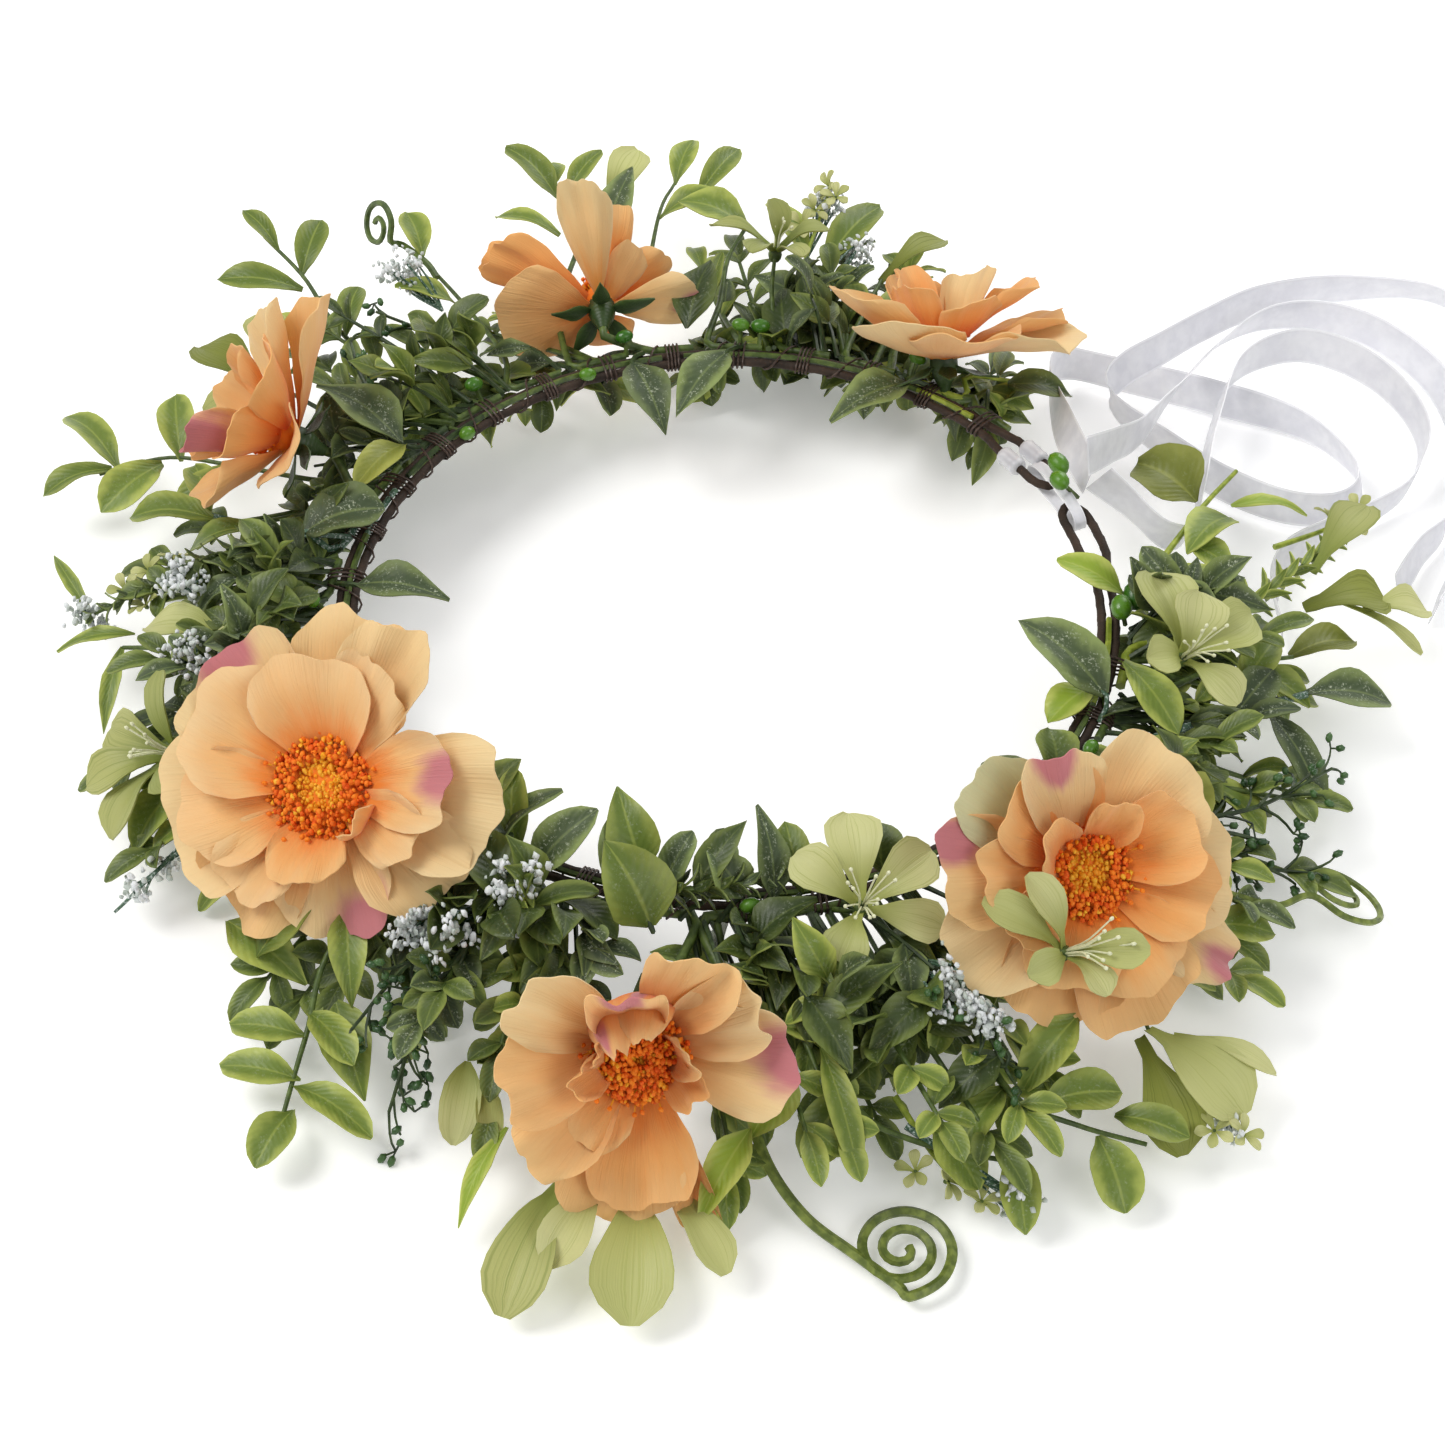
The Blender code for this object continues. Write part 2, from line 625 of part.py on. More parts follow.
def main():
    for old in list(bpy.data.objects):
        bpy.data.objects.remove(old, do_unlink=True)
    build_wire()
    build_binding()
    build_knot()
    for name, slot, angle, reach, height, azimuth, elevation, radius, cup, phase, via in BLOOMS:
        build_bloom(name, slot, angle, reach, height, azimuth, elevation, radius, cup, phase, via)
    for name, slot, route, leaves, size, kind, rests in SPRIGS:
        build_sprig(name, slot, route, leaves, size, material(*LOOKS[kind]), rests)
    build_tail("ribbon_tail_a", TAIL_A)
    build_tail("ribbon_tail_b", TAIL_B)
    build_tail("ribbon_tail_c", TAIL_C)


main()
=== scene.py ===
"""Looks of the flower crown: fabric blooms, moulded foliage, a taped hoop and satin ribbon.

Lengths are in millimetres and angles in degrees until Piece.make() turns a mesh into metres.
Places on the crown are given as angle, radius and height.
"""

import math
import random

import bmesh
import bpy
import numpy as np
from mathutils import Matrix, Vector


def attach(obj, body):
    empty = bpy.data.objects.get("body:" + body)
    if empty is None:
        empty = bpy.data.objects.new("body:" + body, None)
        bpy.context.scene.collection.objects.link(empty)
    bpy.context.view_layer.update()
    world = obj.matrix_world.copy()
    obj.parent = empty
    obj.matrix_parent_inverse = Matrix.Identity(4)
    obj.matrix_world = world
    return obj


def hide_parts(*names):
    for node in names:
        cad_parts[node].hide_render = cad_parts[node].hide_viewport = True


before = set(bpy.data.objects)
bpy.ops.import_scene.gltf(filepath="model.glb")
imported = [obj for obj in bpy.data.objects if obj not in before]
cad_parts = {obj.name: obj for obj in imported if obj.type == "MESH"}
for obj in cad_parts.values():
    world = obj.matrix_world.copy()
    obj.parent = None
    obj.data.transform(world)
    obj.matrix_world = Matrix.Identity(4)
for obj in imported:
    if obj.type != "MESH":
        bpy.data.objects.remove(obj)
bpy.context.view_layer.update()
MM = 0.001
UP = np.array((0.0, 0.0, 1.0))

# ---------------------------------------------------------------- dimensions
HOOP_RADIUS = 92.5
HOOP_HEIGHT = 28.0
STRAND_RADIUS = 1.35
STRAND_OFFSET = 3.2
TIE_DEG = 90.0
LOOP_TIP_DEG = 2.6
WIRE_JOIN_DEG = 250.0
FIRST_TURN_DEG = 110.0
TURN_PITCH_DEG = 10.8
TURNS = 29
TAIL_RADIUS = 97.05
LEAVING_RADIUS = 99.8
BINDING_RADIUS = 93.75
BINDING_HALF_SIZE = (4.85, 1.95)
WINDING_STEPS = 12
KNOT_HALF_SIZE = (11.9, 2.75)
RIBBON_WIDTH = 10.0
RIBBON_THICKNESS = 0.24
SHARP_EDGE_DEG = 70


# ---------------------------------------------------------------- geometry helpers
def polar(angle, radius, height):
    a = math.radians(angle)
    return np.array((radius * math.cos(a), radius * math.sin(a), height))


def spot(place):
    """A point given as angle, radius and height, or a point that is one already."""
    return polar(*place) if isinstance(place, tuple) else place


def heading(azimuth, elevation):
    a, e = math.radians(azimuth), math.radians(elevation)
    return np.array((math.cos(e) * math.cos(a), math.cos(e) * math.sin(a), math.sin(e)))


def unit(v):
    return v / max(np.linalg.norm(v), 1e-9)


def turned(first, second, a):
    """The direction at angle a from the first towards the second."""
    return first * math.cos(a) + second * math.sin(a)


def sideways(axis, hint=(0.2, 0.3, 0.9)):
    """Two directions at right angles to an axis."""
    side = unit(np.cross(axis, hint))
    return side, np.cross(axis, side)


def normal_jitter(draw, size=1):
    return np.array([draw.gauss(0, size) for _ in range(3)])


def even_jitter(draw, size=1):
    return np.array([draw.uniform(-size, size) for _ in range(3)])


def lengths(points):
    """The distance along a line of points, at each of them."""
    steps = np.linalg.norm(np.diff(points, axis=0), axis=1)
    return np.concatenate([[0], np.cumsum(steps)])


def whole_length(points):
    return np.linalg.norm(np.diff(points, axis=0), axis=1).sum()


def spline(points, count):
    """Evenly spaced points on a Catmull-Rom curve through the given ones."""
    p = np.array(points, float)
    p = np.vstack([2 * p[0] - p[1], p, 2 * p[-1] - p[-2]])
    t = np.linspace(0, 1, 16, endpoint=False)[:, None]
    dense = [
        0.5 * (2 * p[i] + (p[i + 1] - p[i - 1]) * t
               + (2 * p[i - 1] - 5 * p[i] + 4 * p[i + 1] - p[i + 2]) * t ** 2
               + (3 * p[i] - p[i - 1] - 3 * p[i + 1] + p[i + 2]) * t ** 3)
        for i in range(1, len(p) - 2)
    ]
    dense = np.vstack(dense + [p[-2:-1]])
    reach = lengths(dense)
    want = np.linspace(0, reach[-1], count)
    return np.stack([np.interp(want, reach, dense[:, k]) for k in range(3)], 1)


def tangents(points):
    t = np.gradient(points, axis=0)
    return t / np.maximum(np.linalg.norm(t, axis=1, keepdims=True), 1e-9)


def side_vectors(along, first=None):
    """Vectors at right angles to the curve that turn as little as they can."""
    if first is None:
        first = UP if abs(along[0][2]) < 0.9 else np.array((1.0, 0, 0))
    sides = []
    side = np.cross(along[0], first)
    for forward in along:
        side = unit(side - forward * side.dot(forward))
        sides.append(side)
    return np.array(sides)


def icosphere(level):
    bm = bmesh.new()
    bmesh.ops.create_icosphere(bm, subdivisions=level, radius=1.0)
    points = np.array([v.co[:] for v in bm.verts])
    faces = [tuple(v.index for v in f.verts) for f in bm.faces]
    bm.free()
    return points, faces


BALLS = {1: icosphere(1), 2: icosphere(2)}
GRIDS = {}


def shell_faces(rows, cols):
    """Faces of a thin closed shell: two grids of points, the second behind the first."""
    if (rows, cols) in GRIDS:
        return GRIDS[(rows, cols)]
    back = rows * cols
    faces = []
    for i in range(rows - 1):
        for j in range(cols - 1):
            a, b = i * cols + j, i * cols + j + 1
            c, d = (i + 1) * cols + j + 1, (i + 1) * cols + j
            faces += [(a, b, c, d), (back + d, back + c, back + b, back + a)]
    for i in range(rows - 1):
        a, d = i * cols, (i + 1) * cols
        faces.append((d, back + d, back + a, a))
        a, d = a + cols - 1, d + cols - 1
        faces.append((a, back + a, back + d, d))
    for j in range(cols - 1):
        faces.append((j, back + j, back + j + 1, j + 1))
        a = (rows - 1) * cols + j
        faces.append((a + 1, back + a + 1, back + a, a))
    GRIDS[(rows, cols)] = faces
    return faces


def tube_faces(count, sides):
    """Faces of a closed tube of count rings."""
    faces = []
    for k in range(count - 1):
        for j in range(sides):
            m = (j + 1) % sides
            faces.append((k * sides + j, (k + 1) * sides + j, (k + 1) * sides + m, k * sides + m))
    ends = range(sides), reversed(range((count - 1) * sides, count * sides))
    return faces + [tuple(end) for end in ends]


def ring(along, side, angles):
    """Directions round a curve, at each of its points and each of the angles."""
    rise = np.cross(side, along)
    return (np.cos(angles)[None, :, None] * side[:, None, :]
            + np.sin(angles)[None, :, None] * rise[:, None, :])


def marks(shape, across, along, tone, blush=0.0):
    """What the looks read at each point of a grid."""
    made = np.zeros((*shape, 4))
    for k, value in enumerate((across, along, tone, blush)):
        made[..., k] = value
    return made.reshape(-1, 4)


class Piece:
    """One named mesh that is put together from shells, tubes and balls."""

    def __init__(self, name, seed=0):
        self.name = name
        self.draw = random.Random(seed)
        self.points, self.marks, self.faces, self.looks, self.slots = [], [], [], [], []
        self.count = 0

    def add(self, points, faces, look, mark):
        if look not in self.slots:
            self.slots.append(look)
        start = self.count
        self.points.append(points)
        self.marks.append(mark)
        self.faces.extend(tuple(start + i for i in f) for f in faces)
        self.looks.extend([self.slots.index(look)] * len(faces))
        self.count += len(points)

    def shell(self, look, grid, normal, thickness, across, along, tone, blush=0.0):
        """A closed sheet of the given thickness on a grid of rows by columns of points."""
        size = grid.shape[:2]
        half = normal * (thickness / 2)
        points = np.concatenate([(grid + half).reshape(-1, 3), (grid - half).reshape(-1, 3)])
        mark = marks(size, across, along, tone, blush)
        self.add(points, shell_faces(*size), look, np.concatenate([mark, mark]))

    def tube(self, look, centres, radius, sides=6, tone=0.5):
        along = tangents(centres)
        n = len(centres)
        radius = np.broadcast_to(np.asarray(radius, float), (n,))
        a = 2 * np.pi * (np.arange(sides) + 0.5) / sides
        out = ring(along, side_vectors(along), a)
        points = (centres[:, None, :] + out * radius[:, None, None]).reshape(-1, 3)
        self.add(points, tube_faces(n, sides), look,
                 marks((n, sides), 0.5, np.linspace(0, 1, n)[:, None], tone))

    def ball(self, look, centre, radii, axis=(0, 0, 1), level=1, tone=0.5, rough=0.0):
        points, faces = BALLS[level]
        axis = unit(np.array(axis, float))
        turn = np.stack([*sideways(axis, (0.3, 0.9, 0.1)), axis])
        shaped = points * np.array(radii)
        if rough:
            shaped = shaped * np.array([[self.draw.uniform(1 - rough, 1 + rough)]
                                        for _ in range(len(points))])
        self.add(centre + shaped @ turn, faces, look,
                 marks((len(points),), 0.5, points[:, 2] * 0.5 + 0.5, tone))

    def make(self, *nodes, slot=None):
        """The mesh object, which stands for the CAD nodes and takes the looks of its own parts.
        slot is not used.
        """
        mesh = bpy.data.meshes.new(self.name)
        points = np.concatenate(self.points) * MM
        mesh.from_pydata(points.tolist(), [], self.faces)
        mesh.polygons.foreach_set("material_index", self.looks)
        mark = mesh.color_attributes.new("mark", "FLOAT_COLOR", "POINT")
        mark.data.foreach_set("color", np.concatenate(self.marks).astype(np.float32).ravel())
        for look in self.slots:
            mesh.materials.append(look)
        mesh.shade_smooth()
        mesh.set_sharp_from_angle(angle=math.radians(SHARP_EDGE_DEG))
        mesh.update()
        made = bpy.data.objects.new(self.name, mesh)
        bpy.context.scene.collection.objects.link(made)
        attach(made, "root")
        if nodes:
            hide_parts(*nodes)
        return made


# ---------------------------------------------------------------- materials
class Look:
    """A Principled material with short calls for its nodes."""

    def __init__(self, name, **constants):
        self.material = bpy.data.materials.new(name)
        self.material.use_nodes = True
        self.tree = self.material.node_tree
        self.shader = self.tree.nodes["Principled BSDF"]
        for key, value in constants.items():
            self.shader.inputs[key.replace("_", " ")].default_value = value

    def node(self, kind, inputs=(), **settings):
        made = self.tree.nodes.new("ShaderNode" + kind)
        for key, value in settings.items():
            setattr(made, key, value)
        for key, value in dict(inputs).items():
            self.feed(made.inputs[key], value)
        return made

    def feed(self, socket, value):
        if isinstance(value, bpy.types.NodeSocket):
            self.tree.links.new(value, socket)
        elif isinstance(value, tuple) and len(value) == 3 and socket.type == "RGBA":
            socket.default_value = (*value, 1.0)
        else:
            socket.default_value = value

    def mark(self):
        """across, along, tone and blush of the piece's own marks."""
        found = self.node("Attribute", attribute_name="mark")
        parts = self.node("SeparateColor", {"Color": found.outputs["Color"]})
        return (*(parts.outputs[key] for key in ("Red", "Green", "Blue")), found.outputs["Alpha"])

    def math(self, operation, a, b=0.0, clamp=False):
        made = self.node("Math", {0: a, 1: b}, operation=operation)
        made.use_clamp = clamp
        return made.outputs[0]

    def times(self, a, b, clamp=False):
        return self.math("MULTIPLY", a, b, clamp)

    def nudged(self, value, noise, gain):
        """A value that noise moves up and down by up to half the gain."""
        return self.math("ADD", value, self.times(self.math("SUBTRACT", noise, 0.5), gain))

    def ramp(self, value, low, high, to_low=0.0, to_high=1.0):
        made = self.node("MapRange", {0: value, 1: low, 2: high, 3: to_low, 4: to_high},
                         interpolation_type="SMOOTHSTEP")
        return made.outputs[0]

    def mix(self, share, a, b):
        made = self.node("Mix", data_type="RGBA", blend_type="MIX")
        for socket, value in ((0, share), (6, a), (7, b)):
            self.feed(made.inputs[socket], value)
        return made.outputs[2]

    def noise(self, scale, detail=2.0, rough=0.5):
        where = self.node("TexCoord").outputs["Object"]
        made = self.node("TexNoise", {"Vector": where, "Scale": scale, "Detail": detail,
                                      "Roughness": rough})
        return made.outputs["Fac"]

    def petal_noise(self, across_scale, along_scale, detail=3.0):
        """Noise in the petal's own directions, so that creases run from its root to its rim."""
        across, along, tone, _ = self.mark()
        where = self.node("CombineXYZ", {0: self.times(across, across_scale),
                                         1: self.times(along, along_scale),
                                         2: self.times(tone, 37.0)})
        made = self.node("TexNoise", {"Vector": where.outputs[0], "Scale": 1.0,
                                      "Detail": detail})
        return made.outputs["Fac"]

    def bump(self, height, strength, distance, under=None):
        inputs = {"Height": height, "Strength": strength, "Distance": distance}
        if under is not None:
            inputs["Normal"] = under
        return self.node("Bump", inputs).outputs[0]

    def set(self, key, value):
        self.feed(self.shader.inputs[key], value)

    def finish(self, body, normal, rough, glow=0.0):
        """Joins up the shader. glow is the share of light from behind that comes through."""
        for key, value in (("Base Color", body), ("Normal", normal), ("Roughness", rough)):
            self.set(key, value)
        if glow:
            behind = self.node("BsdfTranslucent", {"Color": body})
            mixed = self.node("MixShader", {0: glow, 1: self.shader.outputs[0],
                                            2: behind.outputs[0]})
            out = self.tree.nodes["Material Output"]
            self.tree.links.new(mixed.outputs[0], out.inputs[0])
        return self.material


def leaf_look(name, rim, middle, deep, frost, gloss=0.42, glow=0.12):
    """Moulded leaf plastic: a pale rim, a darker middle, raised veins and white frosting. deep is
    a darker green: painted shade towards the root, and a darker tone on some leaves at random.
    """
    look = Look(name, Roughness=gloss, Specular_IOR_Level=0.38, Coat_Weight=0.06,
                Coat_Roughness=0.35)
    across, along, tone, _ = look.mark()
    edge = look.nudged(across, look.noise(260.0, 3.0), 0.7)
    body = look.mix(look.ramp(edge, 0.35, 1.0), middle, rim)
    # painted shade: the leaf darkens towards its root, where it sits among the other leaves and
    # stems
    body = look.mix(look.ramp(along, 0.35, 0.0, 0.0, 0.55), body, deep)
    # a darker tone on some leaves at random, in the same deep green
    body = look.mix(look.ramp(tone, 0.35, 0.95, 0.0, 0.55), body, deep)
    body = look.mix(look.ramp(across, 0.10, 0.02, 0.0, 0.35), body, rim)
    fine = look.noise(1500.0, 4.0, 0.7)
    coarse = look.noise(330.0, 2.0)
    dust = look.times(look.ramp(fine, 0.52, 0.68), look.ramp(coarse, 0.40, 0.62))
    dust = look.times(dust, look.ramp(across, 1.0, 0.35, 0.25, 1.0))
    body = look.mix(look.times(dust, frost, clamp=True), body, (0.50, 0.55, 0.40))
    slant = look.math("SUBTRACT", along, look.times(across, 0.32))
    veined = look.bump(look.math("SINE", look.times(slant, 58.0)), 0.14, 0.0003)
    return look.finish(body, look.bump(fine, 0.25, 0.0002, veined),
                       look.ramp(fine, 0.3, 0.8, gloss - 0.08, gloss + 0.2), glow)


def stem_look(name, colour, dark, frost=0.0):
    look = Look(name, Roughness=0.5, Specular_IOR_Level=0.4)
    grain = look.noise(420.0, 3.0)
    fine = look.noise(1600.0, 3.0)
    body = look.mix(look.ramp(grain, 0.35, 0.7), dark, colour)
    if frost:
        body = look.mix(look.times(look.ramp(fine, 0.5, 0.7), frost), body, (0.62, 0.70, 0.68))
    return look.finish(body, look.bump(grain, 0.3, 0.0003), look.ramp(fine, 0.3, 0.8, 0.4, 0.65))


def petal_look(name, root, middle, rim, flush=(0.10, 0.50)):
    """Printed petal fabric: orange at the root, cream at the rim, a pink tip and fine creases."""
    look = Look(name, Roughness=0.62, Specular_IOR_Level=0.25, Sheen_Weight=0.25,
                Sheen_Roughness=0.5)
    _, along, tone, blush = look.mark()
    crease = look.petal_noise(34.0, 2.2)
    blot = look.petal_noise(5.0, 3.0, 4.0)
    along = look.nudged(along, blot, 0.30)
    body = look.mix(look.ramp(along, *flush), root, middle)
    body = look.mix(look.ramp(along, flush[1] - 0.1, 1.05, 0.0, 0.9), body, rim)
    body = look.mix(look.ramp(tone, 0.0, 1.0, 0.0, 0.30), body, middle)
    body = look.mix(look.ramp(crease, 0.35, 0.75, 0.0, 0.07), body, (0.85, 0.50, 0.28))
    pink = look.nudged(blush, blot, 0.5)
    pink = look.times(look.ramp(pink, 0.30, 0.80), look.ramp(blush, 0.0, 0.2))
    body = look.mix(pink, body, (0.67, 0.25, 0.27))
    creased = look.bump(crease, 0.55, 0.0006)
    normal = look.bump(look.noise(2600.0, 1.0), 0.12, 0.0001, creased)
    return look.finish(body, normal, look.ramp(crease, 0.3, 0.7, 0.55, 0.75), 0.30)


def blossom_look(name, root, rim, stripe):
    """Thin pale plastic of the star blossoms, with darker lines from root to tip."""
    look = Look(name, Roughness=0.42, Specular_IOR_Level=0.4)
    _, along, tone, _ = look.mark()
    lines = look.petal_noise(22.0, 0.8, 2.0)
    body = look.mix(look.ramp(along, 0.0, 0.8), root, rim)
    body = look.mix(look.ramp(tone, 0.2, 1.0, 0.0, 0.5), body, root)
    body = look.mix(look.ramp(lines, 0.5, 0.72, 0.0, 0.55), body, stripe)
    return look.finish(body, look.bump(lines, 0.4, 0.0004),
                       look.ramp(lines, 0.3, 0.7, 0.36, 0.55), 0.28)


def grain_look(name, low, high, gloss, scale=1400.0, glow=0.0):
    """Small granules or flock: two colours mixed by tone and noise."""
    look = Look(name, Roughness=gloss)
    tone = look.mark()[2]
    fine = look.noise(scale, 3.0)
    share = look.math("ADD", look.times(tone, 0.7), look.times(fine, 0.45), clamp=True)
    return look.finish(look.mix(look.ramp(share, 0.15, 0.85), low, high),
                       look.bump(fine, 0.5, 0.0003),
                       look.ramp(fine, 0.3, 0.7, gloss - 0.1, min(1.0, gloss + 0.15)), glow)


def tape_look():
    look = Look("brown paper tape", Roughness=0.75, Specular_IOR_Level=0.3)
    fibre = look.noise(900.0, 4.0, 0.7)
    patch = look.noise(120.0, 3.0)
    body = look.mix(look.ramp(patch, 0.3, 0.7), (0.018, 0.011, 0.007), (0.050, 0.030, 0.020))
    body = look.mix(look.ramp(fibre, 0.55, 0.8, 0.0, 0.5), body, (0.20, 0.12, 0.08))
    return look.finish(body, look.bump(fibre, 0.6, 0.0005), look.ramp(fibre, 0.3, 0.8, 0.6, 0.85))


def wire_look(name, low, high, metal, rough):
    look = Look(name, Roughness=rough, Metallic=metal)
    grain = look.noise(1800.0, 3.0)
    return look.finish(look.mix(look.ramp(grain, 0.3, 0.7), low, high),
                       look.bump(grain, 0.3, 0.0002),
                       look.ramp(grain, 0.3, 0.7, rough - 0.1, rough + 0.15))


def ribbon_look():
    """Thin white satin: fine threads across and along, denser selvedges, a soft sheen."""
    look = Look("white ribbon", Roughness=0.36, Specular_IOR_Level=0.5, Sheen_Weight=0.4,
                Sheen_Roughness=0.35, Coat_Weight=0.1, Coat_Roughness=0.3)
    across, along, _, _ = look.mark()
    weft = look.math("SINE", look.times(along, 9000.0))
    warp = look.math("SINE", look.times(across, 260.0))
    thread = look.times(look.math("ADD", weft, warp), 0.5)
    cloud = look.noise(160.0, 3.0)
    edge = look.ramp(look.math("ABSOLUTE", look.math("SUBTRACT", across, 0.5)), 0.42, 0.47)
    body = look.mix(look.ramp(cloud, 0.3, 0.7), (0.74, 0.74, 0.79), (0.84, 0.84, 0.87))
    body = look.mix(edge, body, (0.92, 0.92, 0.95))
    look.set("Alpha", look.math("ADD", look.times(edge, 0.10),
                                look.ramp(cloud, 0.2, 0.8, 0.66, 0.78)))
    return look.finish(body, look.bump(thread, 0.10, 0.00008),
                       look.ramp(cloud, 0.3, 0.7, 0.30, 0.46))


# the third colour of each leaf look is its deep green: painted shade at the leaf's root, and a
# darker tone for some leaves at random
LEAF = leaf_look("bright leaf plastic", (0.44, 0.50, 0.105), (0.165, 0.235, 0.036),
                 (0.070, 0.110, 0.012), 0.28)
LEAF_MID = leaf_look("green leaf plastic", (0.26, 0.32, 0.070), (0.095, 0.140, 0.026),
                     (0.038, 0.062, 0.010), 0.36)
LEAF_DARK = leaf_look("dark leaf plastic", (0.150, 0.195, 0.040), (0.048, 0.076, 0.015),
                      (0.018, 0.034, 0.006), 0.36)
LEAF_FROST = leaf_look("frosted leaf plastic", (0.26, 0.33, 0.105), (0.066, 0.098, 0.036),
                       (0.026, 0.044, 0.017), 1.0, gloss=0.55)
LEAF_OLIVE = leaf_look("olive leaf plastic", (0.38, 0.40, 0.08), (0.21, 0.235, 0.030),
                       (0.10, 0.12, 0.012), 0.12)
LEAF_LIME = leaf_look("lime leaf plastic", (0.58, 0.64, 0.15), (0.33, 0.45, 0.045),
                      (0.16, 0.24, 0.02), 0.10, glow=0.25)
STEM = stem_look("green stem plastic", (0.105, 0.155, 0.030), (0.045, 0.075, 0.014))
STEM_OLIVE = stem_look("olive stem plastic", (0.21, 0.26, 0.050), (0.085, 0.120, 0.018))
STEM_DARK = stem_look("dark stem plastic", (0.045, 0.075, 0.020), (0.018, 0.034, 0.010))
STEM_FROST = stem_look("frosted stem plastic", (0.075, 0.145, 0.085), (0.03, 0.08, 0.045), 0.7)
STEM_LIME = stem_look("lime stem plastic", (0.34, 0.40, 0.045), (0.18, 0.24, 0.02))
BLOSSOM = blossom_look("pale blossom plastic", (0.25, 0.31, 0.050), (0.53, 0.54, 0.20),
                       (0.24, 0.30, 0.06))
CREAM = blossom_look("cream blossom plastic", (0.42, 0.46, 0.110), (0.70, 0.70, 0.34),
                     (0.42, 0.46, 0.12))
OLIVE_PETAL = blossom_look("olive blossom plastic", (0.17, 0.20, 0.020), (0.34, 0.37, 0.075),
                           (0.14, 0.18, 0.02))
STAMEN_PALE = grain_look("pale stamen plastic", (0.52, 0.55, 0.28), (0.80, 0.80, 0.58), 0.5)
PETAL = petal_look("peach petal fabric", (0.96, 0.30, 0.03), (0.94, 0.53, 0.19),
                   (0.92, 0.67, 0.32))
# a deeper orange copy of the peach fabric: partly the own colour of some inner petals, partly
# painted shade for petals that lie in shade behind others
PETAL_DEEP_AND_SHADED = petal_look("deep and shaded peach petal fabric", (0.96, 0.24, 0.02), (0.94, 0.45, 0.125),
                        (0.93, 0.59, 0.23))
PETAL_CREAM = petal_look("cream petal fabric", (0.94, 0.40, 0.07), (0.92, 0.62, 0.27),
                         (0.91, 0.75, 0.43))
PETAL_GREEN = petal_look("greenish petal fabric", (0.70, 0.58, 0.22), (0.72, 0.67, 0.36),
                         (0.72, 0.73, 0.47))
PETAL_INNER = petal_look("inner petal fabric", (0.96, 0.25, 0.012), (0.94, 0.48, 0.145),
                         (0.92, 0.64, 0.29), (0.26, 0.70))
PETAL_PALE = petal_look("pale petal fabric", (0.96, 0.30, 0.03), (0.94, 0.58, 0.23),
                        (0.91, 0.71, 0.40), (0.30, 0.66))
FLOCK = grain_look("orange stamen flock", (0.84, 0.11, 0.003), (0.98, 0.27, 0.012), 0.75,
                   glow=0.15)
FLOCK_YELLOW = grain_look("amber stamen flock", (0.93, 0.34, 0.008), (0.98, 0.52, 0.03), 0.55,
                          glow=0.15)
CALYX = leaf_look("calyx plastic", (0.060, 0.105, 0.022), (0.030, 0.058, 0.014),
                  (0.012, 0.028, 0.008), 0.05, glow=0.05)
CRUMB = grain_look("white floret crumbs", (0.50, 0.56, 0.50), (0.86, 0.88, 0.90), 0.55, 2200.0,
                   glow=0.1)
BUD = grain_look("glossy green bud", (0.026, 0.115, 0.006), (0.085, 0.22, 0.012), 0.26, 500.0)
BERRY = grain_look("dark green berry", (0.016, 0.055, 0.014), (0.05, 0.12, 0.03), 0.36, 700.0)
TAPE = tape_look()
BINDING = wire_look("dark binding wire", (0.030, 0.018, 0.013), (0.085, 0.052, 0.038), 0.3, 0.45)
STEEL = wire_look("steel wire", (0.42, 0.43, 0.45), (0.60, 0.61, 0.63), 1.0, 0.32)
RIBBON = ribbon_look()


# ---------------------------------------------------------------- leaves, petals and small parts
# half widths along a leaf, as shares of its length and of its greatest half width
OUTLINES = {
    "box": ((0, .10), (.06, .16), (.18, .52), (.36, .88), (.56, 1.0), (.76, .86), (.90, .52),
            (.97, .24), (1, .05)),
    "ovate": ((0, .10), (.05, .20), (.15, .68), (.32, 1.0), (.52, .93), (.74, .58), (.90, .24),
              (1, .03)),
    "lance": ((0, .16), (.15, .55), (.40, 1.0), (.65, .82), (.85, .40), (1, .04)),
    "spoon": ((0, .16), (.20, .26), (.42, .62), (.66, .98), (.82, .96), (.94, .62), (1, .22)),
    "round": ((0, .14), (.08, .42), (.28, .90), (.52, 1.0), (.76, .86), (.93, .48), (1, .12)),
}
NEEDLE_WIDTH = 2.4
FLORET_SIZE = 4.6
COIL_INNER_RADIUS = 1.6
BUD_RADII = (0.95, 0.95, 1.5)


